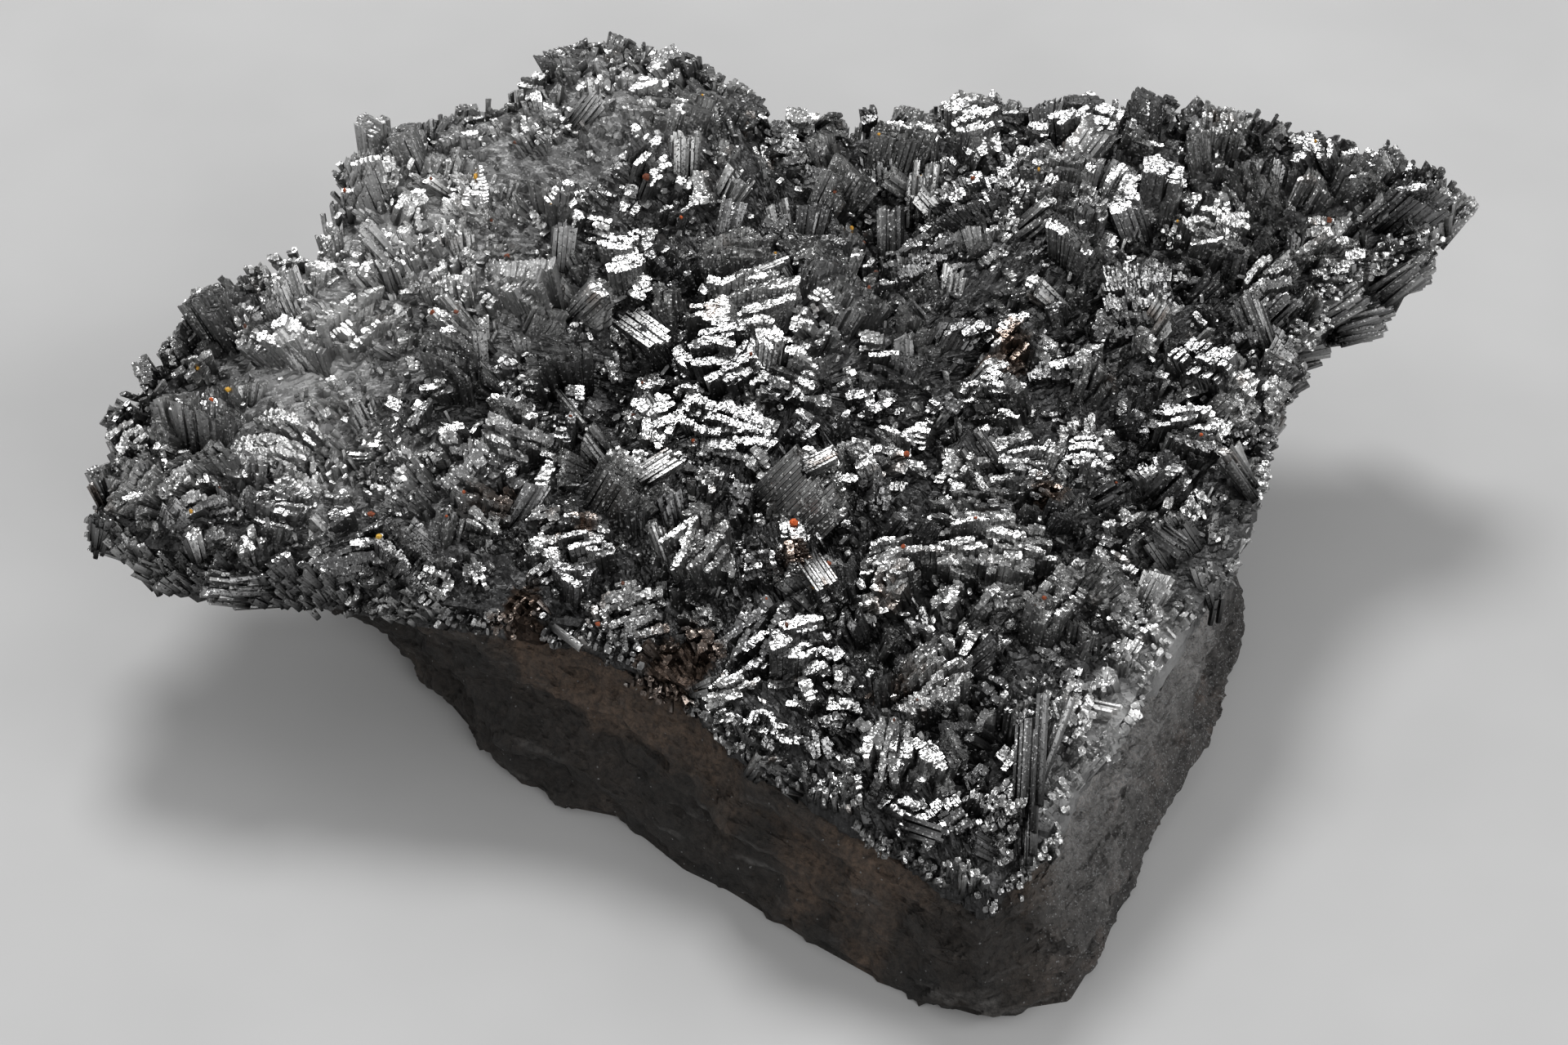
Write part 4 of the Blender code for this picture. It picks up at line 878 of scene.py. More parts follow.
def add_blades(name, blades, material):
    """One piece of closed six-sided blades, each from its root to its slanting end face."""
    tip, root = blades["tip"][:, None], blades["root"][:, None]
    wide, thick, cap = blades["wide"][:, None], blades["thick"][:, None], blades["cap"][:, None]
    axis = unit(tip - root)
    half = blades["half"][:, None, :, None]
    local = SECTION[None, :, :, None] * half
    offset = local[:, :, 0] * wide + local[:, :, 1] * thick
    slant = -(offset * cap).sum(-1, keepdims=True) / np.maximum((axis * cap).sum(-1, keepdims=True), 0.3)
    steepest = half.max(axis=2) * STEEPEST_END
    slant = np.clip(slant, -steepest, steepest)
    taper = blades["taper"][:, None, None]
    points = np.concatenate([root + offset * taper, tip + offset + axis * slant], axis=1)
    count = len(points)

    shift = blades["tone"][:, None] * GRAIN_SHIFT
    across, through = local[:, :, 0, 0] + shift, local[:, :, 1, 0] - shift
    foot = np.stack([across, through, np.zeros_like(across)], axis=-1)
    top = foot.copy()
    top[..., 2] = np.linalg.norm(tip - root, axis=-1)
    # Painted shade for each point: full at a blade's root, and at its end as much as that blade was given.
    depth = np.ones((count, 2 * SIDES))
    depth[:, SIDES:] = blades["sunk"][:, None]
    looks = {
        "grain": np.concatenate([foot, top], axis=1),
        "depth": depth,
        "tone": np.repeat(blades["tone"], 2 * SIDES),
        "pale": np.repeat(nearness(blades["tip"], PALE_AREAS), 2 * SIDES),
        "rust": np.repeat(nearness(blades["tip"], RUSTY_AREAS), 2 * SIDES),
        "cap": np.tile([*[0] * SIDES, 1, 0], count),
    }
    piece = add_mesh(name, points.reshape(-1, 3), *blade_faces(count), material, looks, "steel_grey_crystal")
    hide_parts("crystal_crust")


# ---- where light glances off


def mirror_normals(points):
    """The facing that throws the key light from each point into the camera."""
    return unit(unit(CAMERA_AT - points) + unit(KEY_AT - points))


def settled(points, caps, rng):
    """Facings of whole plates: bright clusters throw the key light at the camera, dull ones away from it."""
    chosen = rng.uniform(0, 1, len(points)) < nearness(points, GLINTS)
    towards = np.where(chosen, rng.uniform(*GLINT_ALIGNMENT, len(points)), 0.0)[:, None]
    mirror, caps = mirror_normals(points), unit(caps)
    sideways = unit(caps - mirror * (caps * mirror).sum(-1, keepdims=True))
    away = nearness(points, DULL_AREAS)[:, None] * DULL_TURN
    return unit((caps + sideways * away) * (1 - towards) + mirror * towards)


# ---- sheaves


def sheaf_form(sheaf, rng):
    """The same sheaf as its solid block: where its plates end, and how they slant."""
    x, y, height, lean_x, lean_y, turn, width, thickness, count, drop, splay = sheaf
    axis = axis_of(lean_x, lean_y)
    wide, thick = width_and_thickness(axis, turn)
    length = max(height - rng.uniform(*ROOT_RISE), 0.6)
    return {
        "tip": np.array([x, y, bed_height(x, y) + swell(x, y) + height]),
        "axis": axis,
        "wide": wide,
        "thick": thick,
        "width": width * BROADEN,
        "thickness": thickness * BROADEN,
        "count": count,
        "drop": drop,
        "along_width": math.tan(math.radians(rng.normal(0, END_TILT))),
        "along_thickness": np.tan(np.radians(rng.normal(0, END_TILT, count))),
        "narrowing": (1 - 1 / splay) / length,
        "splay": splay,
        "length": length,
    }


def row_cuts(length, widths, rng):
    """Where one row of blades is divided, from end to end."""
    cuts = np.cumsum(rng.uniform(*widths, int(length / widths[0]) + 2))
    cuts = cuts[cuts < length - widths[0] / 2]
    return np.concatenate([[0.0], cuts, [length]]) - length / 2


def row_edges(thickness, pitch, rng):
    """Where one plate of a sheaf is divided into rows of uneven thickness."""
    weights = rng.uniform(0.6, 1.4, max(1, round(thickness / pitch)))
    return np.concatenate([[0.0], np.cumsum(weights)]) / weights.sum() * thickness


def sheaf_blades(form, rng, style):
    """The blades of one sheaf: rows of plates, each of fine blades, stepping down from row to row."""
    rows = []
    edges = np.linspace(-0.5, 0.5, form["count"] + 1) * form["thickness"]
    tone = rng.beta(SHEAF_CONTRAST, SHEAF_CONTRAST)
    bend = rng.normal(0, style["bend"])
    for k in range(form["count"]):
        cuts = edges[k] + row_edges(edges[k + 1] - edges[k], style["row"], rng)
        for r, (start, end) in enumerate(zip(cuts, cuts[1:])):
            below = form["drop"] * (form["count"] - 1 - k) + style["row_drop"] * (len(cuts) - 2 - r)
            rows.append(row_blades(form, k, edges[k], start, end, below, bend, tone, rng, style))
    return stacked(rows)


def row_blades(form, k, plate_start, start, end, below, bend, tone, rng, style):
    """One row of a sheaf, bowed sideways towards its ends."""
    slant = form["along_thickness"][k]
    cap = form["axis"] - form["wide"] * form["along_width"] - form["thick"] * slant
    pitch, v = end - start, (start + end) / 2
    turn = rng.normal(0, style["row_turn"])
    wide = form["wide"] * math.cos(turn) + form["thick"] * math.sin(turn)
    thick = form["thick"] * math.cos(turn) - form["wide"] * math.sin(turn)
    reach = math.sqrt(max(NARROWEST_ROW, 1 - (2 * v / form["thickness"]) ** 2 * style["round"]))
    length = form["width"] * reach * rng.uniform(style["shortest"], 1.0)
    slide = rng.uniform(-0.5, 0.5) * (form["width"] * reach - length)
    cuts = row_cuts(length, style["plates"], rng) + slide
    middle, half = (cuts[1:] + cuts[:-1]) / 2, (cuts[1:] - cuts[:-1]) / 2
    plates = len(middle)
    v_plate = v + rng.normal(0, pitch * ROW_WANDER, plates) + bend * (2 * middle / form["width"]) ** 2
    rise = middle * form["along_width"] + (v_plate - plate_start) * slant - below
    rise = rise - style["shoulder"] * (2 * np.abs(middle) / form["width"]) ** 3
    rise = rise + rng.normal(0, style["ragged"], plates)
    broken = rng.uniform(0, 1, plates) < style["broken"]
    rise = rise - broken * rng.uniform(*BROKEN_OFF, plates)
    centre = form["tip"] + wide * middle[:, None] + thick * v_plate[:, None]
    facing = cap + rng.normal(0, style["row_tilt"], 3) + rng.normal(0, style["plate_tilt"], (plates, 3))
    facing = settled(centre, facing, rng)

    parts = np.maximum(1, np.round(2 * half / style["blade"])).astype(int)
    which = np.repeat(np.arange(plates), parts)
    step = np.arange(len(which)) - np.repeat(np.cumsum(parts) - parts, parts)
    t = (step + 0.5) / parts[which] * 2 - 1
    count = len(t)
    u = middle[which] + half[which] * t
    bow = bend * ((2 * u / form["width"]) ** 2 - (2 * middle[which] / form["width"]) ** 2)
    v_here = v_plate[which] + bow + rng.normal(0, pitch * style["stagger"], count)
    spread = wide * u[:, None] + thick * v_here[:, None] * SPREAD_IN_THICKNESS
    axis = unit(form["axis"] + spread * form["narrowing"] + rng.normal(0, style["stray"], (count, 3)))
    lift = rise[which] + rng.normal(0, style["notch"], count) - style["crown"] * t**2
    foot = form["tip"] + wide * u[:, None] + thick * v_here[:, None]
    slope = foot - centre[which]
    level = -(slope * facing[which]).sum(-1) / np.maximum((axis * facing[which]).sum(-1), 0.4)
    lift = lift + np.clip(level, -LEVELLED, LEVELLED)
    tips = foot + axis * np.minimum(lift, HIGHEST_RISE)[:, None]
    lens = np.sqrt(1 - style["lens"] * t**2) * rng.uniform(*THICKNESS_VARIES, count)
    plate_spread, blade_spread = TONE_SPREAD
    tone = tone + rng.normal(0, plate_spread, plates)[which] + rng.normal(0, blade_spread, count)
    half_width = half[which] / parts[which] * style["overlap"]
    return blade_set(
        tip=tips,
        root=tips - axis * (form["length"] + style["rooted"]),
        wide=wide,
        thick=thick,
        half=np.column_stack([half_width, pitch / 2 * style["fullness"] * lens]),
        cap=unit(facing[which] + rng.normal(0, style["blade_tilt"], (count, 3))),
        taper=1 / form["splay"],
        tone=np.clip(tone, 0, 1),
        sunk=np.clip(style["shade"] - lift * LOWER_DARKER, 0, DEEPEST_SHADE),
    )


# How the rows and blades of a sheaf are laid and broken, in millimetres and shares.
BUNDLE = {
    "row": 0.3, "plates": (0.5, 1.8), "blade": 0.25, "overlap": 1.25, "row_drop": 0.11, "shoulder": 0.7,
    "ragged": 0.14, "notch": 0.03, "crown": 0.05, "lens": 0.8, "broken": 0.12, "stray": 0.015, "stagger": 0.1,
    "row_tilt": 0.06, "plate_tilt": 0.1, "blade_tilt": 0.05, "row_turn": 0.2, "shortest": 0.4,
    "round": 0.8, "rooted": 0.4, "fullness": 1.3, "bend": 0.4, "shade": 0.0,
}
FAN = {
    **BUNDLE, "row": 0.4, "plates": (0.5, 1.2), "blade": 0.18, "overlap": 1.2, "row_drop": 0.1,
    "shoulder": 0.3, "ragged": 0.22, "notch": 0.1, "crown": 0.0, "lens": 0.0, "broken": 0.03, "stray": 0.006,
    "row_tilt": 0.04, "row_turn": 0.04, "shortest": 0.8, "round": 0.1, "fullness": 1.1, "bend": 0.1,
}
TUFT = {
    **BUNDLE, "plates": (0.3, 1.2), "blade": 0.24, "shoulder": 0.5, "ragged": 0.15,
    "notch": 0.04, "broken": 0.15, "stray": 0.03, "row_tilt": 0.09, "plate_tilt": 0.14, "blade_tilt": 0.08,
    "round": 0.85, "bend": 0.2, "shade": 0.1,
}
GLEAMING = {
    **BUNDLE, "row_drop": 0.03, "shoulder": 0.3, "ragged": 0.07, "notch": 0.02, "row_tilt": 0.04,
    "plate_tilt": 0.07, "row_turn": 0.32, "shortest": 0.5, "fullness": 1.6,
}
HACKLY = {
    **BUNDLE, "row": 0.23, "plates": (0.2, 0.65), "blade": 0.17, "shoulder": 0.9, "ragged": 0.16,
    "notch": 0.08, "lens": 0.4, "broken": 0.2, "stray": 0.05, "stagger": 0.25, "row_tilt": 0.2,
    "plate_tilt": 0.25, "blade_tilt": 0.3, "row_turn": 0.25, "round": 0.9, "shade": 0.06,
}


def style_at(tip, usual, rng):
    """Sheaves in the brightest clusters end almost level, and those in the paler parts are hackly."""
    if nearness(tip, GLINTS) > GLEAM_FROM:
        return GLEAMING
    return HACKLY if rng.uniform() < nearness(tip, PALE_AREAS) else usual


def style_of(sheaf, form, rng):
    """Thin or widely spread sheaves show their striated sides."""
    thickness, splay = sheaf[7], sheaf[10]
    return FAN if splay >= 1.4 or thickness <= 1.6 else style_at(form["tip"], BUNDLE, rng)


def tuft_sheaves(outline, forms, rng):
    """Small low sheaves that fill the ground between the big ones."""
    down_lean, clear_share = CLEARING
    centres = np.array([form["tip"][:2] - form["axis"][:2] * down_lean for form in forms])
    sizes = np.array([form["thickness"] for form in forms]) * clear_share
    heights = np.array([form["tip"][2] for form in forms])
    heights = heights - bed_height(*centres.T) - swell(*centres.T)
    along = np.roll(outline, -1, axis=0) - outline
    wall = np.vstack([outline + along * share for share in (0.0, 0.25, 0.5, 0.75)])
    tries = rng.uniform(outline.min(axis=0), outline.max(axis=0), (TUFT_TRIES, 2))
    placed, rows = np.empty((0, 2)), []
    for spot in tries[inside(tries, inset(outline, TUFT_INSET))]:
        if len(placed) and np.linalg.norm(placed - spot, axis=1).min() < TUFT_SPACING:
            continue
        away = np.linalg.norm(centres - spot, axis=1)
        if (away < sizes).any():
            continue
        placed = np.vstack([placed, spot])
        at_edge, inwards = EDGE_HEIGHT
        highest = at_edge + np.linalg.norm(wall - spot, axis=1).min() * inwards
        highest = min(heights[np.argsort(away)[:3]].mean() - TUFT_BELOW, highest)
        height = min(rng.uniform(*TUFT_HEIGHT), max(highest, TUFT_LOWEST))
        lean = (spot - CENTRE) * OUTWARD_LEAN + rng.normal(0, TUFT_LEAN, 2)
        lean = np.clip(lean, -STEEPEST_LEAN, STEEPEST_LEAN)
        turn = rng.uniform(-90, 90)
        width, thickness = rng.uniform(*TUFT_WIDTH), rng.uniform(*TUFT_THICKNESS)
        count = int(rng.integers(1, 3))
        drop, splay = rng.uniform(*TUFT_DROP), rng.uniform(*TUFT_SPLAY)
        rows.append((*spot, height, *lean, turn, width, thickness, count, drop, splay))
    return rows


def edge_blades(block, rng):
    """The blades of one block at the crust's edge, lengthwise through the block."""
    foot, tip = block[[0, 3, 4, 7]].mean(axis=0), block[[1, 2, 5, 6]].mean(axis=0)
    near, far = block[[1, 2]].mean(axis=0), block[[5, 6]].mean(axis=0)
    low, high = block[[1, 5]].mean(axis=0), block[[2, 6]].mean(axis=0)
    axis = unit(tip - foot)
    wide, thick = unit(far - near), unit(high - low)
    width, thickness = np.linalg.norm(far - near), np.linalg.norm(high - low)
    rows = []
    number = max(2, round(thickness / EDGE_BLADE_PITCH))
    for r in range(number):
        v = thickness * ((r + 0.5) / number - 0.5)
        cuts = row_cuts(width, EDGE_BLADE_WIDTHS, rng)
        u = (cuts[1:] + cuts[:-1]) / 2
        count = len(u)
        reach = rng.uniform(*EDGE_BLADE_REACH, count) - 0.4 * (2 * np.abs(u) / width) ** 2
        flank = unit(axis + wide * (u * 0.12)[:, None] + rng.normal(0, 0.07, (count, 3)))
        tips = tip + wide * u[:, None] + thick * v + flank * reach[:, None]
        thin = rng.uniform(*EDGE_BLADE_HALF_THICKNESS, count)
        row = blade_set(
            tip=tips,
            root=tips - flank * np.linalg.norm(tip - foot),
            wide=wide,
            thick=thick,
            half=np.column_stack([(cuts[1:] - cuts[:-1]) / 2 * 1.2, thin]),
            cap=axis,
            taper=0.8,
            tone=rng.uniform(0, 1, count),
            sunk=0.0,
        )
        rows.append(row)
    blades = stacked(rows)
    blades["cap"] = unit(settled(blades["tip"], blades["cap"], rng) + rng.normal(0, 0.2, blades["tip"].shape))
    return blades


def seated(place, surface):
    """A place moved to the height of the crystals round it."""
    nearest = np.linalg.norm(surface[:, :2] - place[:2], axis=1).argsort()[:SLAB_NEIGHBOURS]
    return np.array([*place[:2], np.percentile(surface[nearest, 2], SLAB_LEVEL)])


def slab_blades(slab, surface, rng):
    """A lone slab of parallel blades lying on the others, whose side throws the light at the camera."""
    x, y, screen_angle, length, width, softness = slab
    dull = softness > DULL_SLAB
    middle = seated((x, y), surface)
    facing = mirror_normals(middle[None])[0]
    facing = unit(facing + rng.normal(0, min(softness, DULL_SLAB), 3))
    turn = math.radians(screen_angle)
    right = np.array([1.0, 0.0, 0.0])
    along = right * math.cos(turn) + np.cross(unit(CAMERA_AT - middle), right) * math.sin(turn)
    along = unit(along - facing * (along @ facing))
    if dull:
        ends = [seated(middle + along * length * share, surface) for share in (-0.4, 0.4)]
        middle, along = (ends[0] + ends[1]) / 2, unit(ends[1] - ends[0])
        facing = unit(facing - along * (along @ facing))
        facing = unit(facing + np.cross(facing, along) * math.copysign(TURNED_AWAY, rng.normal()))
    across = np.cross(facing, along)
    edges = row_cuts(width, STRIP_WIDTHS, rng)
    strips = len(edges) - 1
    shortest, longest = STRIP_REACH
    reach = length * rng.uniform(shortest - softness * 0.5, longest, (strips, 2))
    level = facing * rng.normal(0, STRIP_LEVEL, (strips, 1))
    centre = middle + across * ((edges[1:] + edges[:-1]) / 2)[:, None] + level
    tilt = rng.normal(0, STRIP_TILT + softness * 0.5, strips)[:, None]
    half_width = (edges[1:] - edges[:-1]) / 2 * 1.1
    return blade_set(
        tip=centre + along * reach[:, :1],
        root=centre - along * reach[:, 1:],
        wide=unit(across + facing * tilt),
        thick=unit(facing - across * tilt),
        half=np.column_stack([half_width, np.full(strips, SLAB_HALF_THICKNESS)]),
        cap=along,
        taper=0.95,
        tone=rng.uniform(*SLAB_TONES, strips) * (DULL_TONE if dull else 1.0),
        sunk=0.0,
    )


def druse_blades(outline, rng):
    """Tiny crystals all over the ground between the tufts, each leaning its own way."""
    tries = rng.uniform(outline.min(axis=0), outline.max(axis=0), (DRUSE_TRIES, 2))
    spots = tries[inside(tries, inset(outline, DRUSE_INSET))]
    count = len(spots)
    ground = bed_height(*spots.T) + swell(*spots.T) + CRUST_BODY + DRUSE_RISE * nearness(spots, PALE_AREAS)
    axis = unit(np.column_stack([rng.normal(0, DRUSE_LEAN, (count, 2)), np.ones(count)]))
    length = rng.uniform(*DRUSE_LENGTH, count)
    root = with_height(spots, ground - DRUSE_SUNK)
    wide = unit(np.cross(axis, rng.normal(0, 1, (count, 3))))
    tips = root + axis * length[:, None]
    return blade_set(
        tip=tips,
        root=root,
        wide=wide,
        thick=np.cross(axis, wide),
        half=np.column_stack(
            [rng.uniform(*DRUSE_HALF_WIDTH, count), rng.uniform(*DRUSE_HALF_THICKNESS, count)]
        ),
        cap=unit(settled(tips, axis, rng) + rng.normal(0, 0.25, (count, 3))),
        taper=0.8,
        tone=rng.uniform(0.1, 0.9, count),
        sunk=DRUSE_SHADE,
    )


def rim_fibres(outline, rng):
    """Fine fibres up the broken side of the crust, in bundles that lean and end each in their own way."""
    fine = divided([tuple(p) for p in outline], FIBRE_SPACING)
    fine = np.repeat(fine, FIBRE_LAYERS, axis=0)
    count = len(fine)
    bundle = np.arange(count) // (FIBRE_LAYERS * FIBRES_IN_BUNDLE)
    bundles = bundle.max() + 1
    angles = angle_of(fine)
    share = by_angle(FIBRE_SHARE, angles)
    whole_lean, broken_lean = BUNDLE_LEAN
    own_lean = np.clip(rng.normal(0, 1, bundles), -1.5, 1.5)[bundle]
    own_lean = own_lean * (whole_lean + broken_lean * (1 - share))
    own_rise = rng.normal(0, BUNDLE_RISE, bundles)[bundle]
    own_out = rng.uniform(*BUNDLE_OUT, bundles)[bundle]
    own_tone = rng.uniform(*BUNDLE_TONES, bundles)[bundle]
    fine = fine + rng.normal(0, FIBRE_SPACING * FIBRE_SCATTER, fine.shape)
    lip = round_the_rim(fine, LIP)
    wall = round_the_rim(fine, WALL)
    outward = outwards(fine)
    sideways = np.column_stack([-outward[:, 1], outward[:, 0]])
    lean = by_angle(FIBRE_SLANT, angles) + own_lean
    hang = by_angle(FIBRE_HANG, angles)

    # Whole fibres, from under the lip to the crust's rim.
    rise = CRUST_BODY - 0.4 + own_rise + rng.uniform(-0.7, 0.3, count)
    top = fine - outward * (wall * rng.uniform(0.2, 0.9, count) + own_out)[:, None]
    tip = with_height(top, bed_height(*top.T) + swell(*top.T) + rise)
    low = fine - outward * (wall + lip * LIP_SLANT + own_out + rng.uniform(-0.2, 0.4, count))[:, None]
    slide = sideways * (lean * (lip + rise + hang))[:, None]
    slide = slide * inside(low - slide, outline)[:, None]
    low = low - slide
    down = GAP / 2 - lip - hang + rng.uniform(-0.1, 0.7, count) + np.abs(own_rise) * 0.5
    foot = with_height(low, bed_height(*low.T) + down)

    # What is left of the broken ones, moved back over the rock and kicked outwards.
    start = rng.uniform(0, 1, count) * (1 - share)
    whole = tip - foot
    foot, tip = foot + whole * start[:, None], foot + whole * (start + share)[:, None]
    back = with_height(slide * (1 - start - share / 2)[:, None], 0.0) * (share < 1)[:, None]
    foot, tip = foot + back, tip + back
    kick = rng.uniform(-0.1, 0.5, count) * (1 - share)
    tip = tip + with_height(outward * kick[:, None], rng.normal(0, 0.15, count) * (1 - share))
    axis = unit(tip - foot)
    wide = with_height(sideways, 0.0)
    wide = unit(wide - axis * (wide * axis).sum(-1, keepdims=True))
    return blade_set(
        tip=tip,
        root=foot,
        wide=wide,
        thick=np.cross(axis, wide),
        half=np.column_stack(
            [rng.uniform(*FIBRE_HALF_WIDTH, count), rng.uniform(*FIBRE_HALF_THICKNESS, count)]
        ),
        cap=unit(axis + rng.normal(0, 0.25, (count, 3))),
        taper=rng.uniform(*FIBRE_TAPER, count),
        tone=np.clip(own_tone + rng.normal(0, 0.15, count), 0, 1),
        sunk=by_angle(FIBRE_SHADE, angles),
    )


# ---- the crust's own ground, and the rock


def grid_mesh(name, grid, material, looks, slot):
    """A closed mesh from rings of equally many points, each end drawn together in a middle point."""
    rings, around = grid.shape[:2]
    points = np.vstack([grid.reshape(-1, 3), grid[0].mean(axis=0), grid[-1].mean(axis=0)])
    i = np.arange(around)
    j = (i + 1) % around
    upper = np.arange(rings - 1)[:, None] * around
    lower = upper + around
    sides = np.stack([upper + i, lower + i, lower + j, upper + j], axis=-1)
    first, last = rings * around, rings * around + 1
    top = np.column_stack([np.full(around, first), i, j])
    bottom = np.column_stack([np.full(around, last), (rings - 1) * around + j, (rings - 1) * around + i])
    starts = np.concatenate([np.arange(sides.size // 4) * 4, sides.size + np.arange(2 * around) * 3])
    corners = np.concatenate([sides.ravel(), top.ravel(), bottom.ravel()])
    padded = {}
    for label, values in looks.items():
        flat = values.reshape(rings * around, -1)
        padded[label] = np.vstack([flat, flat[:around].mean(axis=0), flat[-around:].mean(axis=0)])
    return add_mesh(name, points, corners, starts, material, padded, slot)


def refined(rings, downs, around):
    """A closed surface's rings resampled: downs gives how finely each gap between rings is divided."""
    rings = np.array(rings)
    rows = []
    for upper, lower, steps in zip(rings, rings[1:], downs):
        rows += [upper + (lower - upper) * k / steps for k in range(steps)]
    rows = np.array([*rows, rings[-1]])
    count = rows.shape[1]
    place = np.linspace(0, count, around, endpoint=False)
    start = place.astype(int)
    share = (place - start)[None, :, None]
    return rows[:, start] * (1 - share) + rows[:, (start + 1) % count] * share


def grid_normals(grid):
    """Outward normals of a grid that runs down from its top ring."""
    across = np.roll(grid, -1, axis=1) - np.roll(grid, 1, axis=1)
    normal = np.cross(np.gradient(grid, axis=0), across)
    return normal / np.maximum(np.linalg.norm(normal, axis=-1, keepdims=True), 1e-9)


def broken_relief(grid, sizes):
    """Heights of a hackly surface: tilted facets of a few sizes, with a little noise on them."""
    points = grid.reshape(-1, 3)
    total = 0.0
    for size, depth, seed in sizes:
        heights = np.empty(len(points))
        for index, point in enumerate(points):
            spot = Vector(point) / size + Vector((seed, seed * 0.7, -seed))
            cell = noise.voronoi(spot)[1][0]
            tilt = noise.noise_vector(cell * 3.7)
            heights[index] = tilt.dot(spot - cell) + 0.5 * noise.noise(spot * 2.3)
        total = total + heights * depth
    return total.reshape(grid.shape[:2])


def body_rings(outline, rng):
    """The rings of the crust's solid part, over the top, down the lip and back under."""
    lip = round_the_rim(outline, LIP)
    setback = round_the_rim(outline, WALL)
    drawn_in = setback + lip * LIP_SLANT
    wall = inset(outline, setback)
    inner = inset(outline, drawn_in + LIP_WIDTH)
    under = bed_height(*outline.T) + GAP / 2
    swell_share, edge_rise = BODY_EDGE
    shoulder_in, shoulder_down = LIP_SHOULDER
    rings = [with_height(CENTRE + (wall - CENTRE) * 0.02, bed_height(*CENTRE) + swell(*CENTRE) + CRUST_BODY)]
    for share in BODY_RINGS:
        spot = CENTRE + (wall - CENTRE) * share
        height = bed_height(*spot.T) + swell(*spot.T) + CRUST_BODY
        rings.append(with_height(spot, height + rng.normal(0, BODY_ROUGHNESS, len(spot))))
    edge = bed_height(*wall.T) + swell(*wall.T) * swell_share + CRUST_BODY + edge_rise
    rings += [
        with_height(wall, edge),
        with_height(inset(outline, setback + lip * shoulder_in), under - lip * shoulder_down),
        with_height(inset(outline, drawn_in), under - lip),
        with_height(inner, under - lip + LIP_FOOT_RISE),
        with_height(inner, bed_height(*inner.T) + GAP / 2),
        with_height(CENTRE + (inner - CENTRE) * 0.02, bed_height(*CENTRE) + GAP / 2),
    ]
    return rings


def make_ground(outline, rng, material):
    """The crust between and under its crystals, rough with the stubs of smaller ones."""
    grid = refined(body_rings(outline, rng), GROUND_DOWNS, GROUND_AROUND)
    relief = broken_relief(grid, GROUND_RELIEF) + DRUSE_RISE * nearness(grid, PALE_AREAS)
    relief[-sum(GROUND_DOWNS[-2:]):] = 0.0
    grid = grid + grid_normals(grid) * relief[..., None]
    pale = nearness(grid, PALE_AREAS)
    # Painted shade over all the ground, less where it is paler.
    looks = {
        "grain": grid,
        "depth": GROUND_SHADE * (1 - 0.6 * pale),
        "tone": rng.uniform(*GROUND_TONES, pale.shape),
        "pale": pale,
        "rust": nearness(grid, RUSTY_AREAS),
    }
    piece = grid_mesh("crust_ground", grid, material, looks, "steel_grey_crystal")
    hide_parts("crystal_crust")


def rock_rings(outline, rng):
    """The rings of the rock, from its bed down past the crust's lip and its broken sides to its foot."""
    lip = round_the_rim(outline, LIP)
    drawn_in = round_the_rim(outline, WALL) + lip * LIP_SLANT
    inner = inset(outline, drawn_in + LIP_WIDTH + REBATE_CLEARANCE)
    shoulder = inset(outline, drawn_in + round_the_rim(outline, ROCK_SETBACK))
    base = np.array(sorted(BASE_OUTLINE, key=angle_of))
    reach = np.linalg.norm(base - CENTRE, axis=1)
    outward = outwards(outline)
    foot = CENTRE + outward * np.interp(angle_of(outline), angle_of(base), reach, period=360)[:, None]
    rebate = bed_height(*outline.T) - lip + GAP * 0.7
    side_top = rebate - SHOULDER_DROP * 0.5
    rings = [
        with_height(CENTRE + (inner - CENTRE) * 0.02, bed_height(*CENTRE) - GAP / 2),
        with_height(inner, bed_height(*inner.T) - GAP / 2),
        with_height(inner, rebate),
        with_height(shoulder, side_top),
    ]
    spread_out, spread_up = ROCK_ROUGHNESS
    for down, ledge in zip(ROCK_LEVELS, ROCK_LEDGES):
        way = down ** round_the_rim(outline, RUN_IN)
        wave = np.sin(np.radians(angle_of(outline)) * LEDGE_WAVES + down * LEDGE_TWIST)
        out = ledge * wave + rng.normal(0, spread_out, len(outline))
        ring = shoulder + (foot - shoulder) * way[:, None] + outward * out[:, None]
        height = side_top * (1 - down) + rng.normal(0, spread_up, len(outline))
        rings.append(with_height(ring, np.maximum(height, LOWEST_LEDGE)))
    rings.append(with_height(foot - outward * FOOT_BEVEL, 0.0))
    rings.append(with_height(CENTRE + (foot - CENTRE) * 0.02, 0.0))
    return rings


def make_rock(outline, rng):
    """The host rock with its broken, ledged faces."""
    grid = refined(rock_rings(outline, rng), ROCK_DOWNS, ROCK_AROUND)
    relief = broken_relief(grid, ROCK_RELIEF)
    relief[: sum(ROCK_DOWNS[:2])] *= BED_RELIEF
    relief[-ROCK_DOWNS[-1] - 1:] = 0.0
    grid = grid + grid_normals(grid) * relief[..., None]
    grid[..., 2] = np.maximum(grid[..., 2], 0.0)
    looks = {
        "under": np.clip((bed_height(grid[..., 0], grid[..., 1]) - grid[..., 2]) / UNDER_RANGE, 0, 1),
        "side": by_angle(GREY_SIDE, angle_of(grid[..., :2])),
        "rust": nearness(grid, RUSTY_ROCK),
    }
    piece = grid_mesh("host_rock", grid, rock_material(), looks, "dark_rock")
    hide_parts("matrix")


# ---- coloured grains


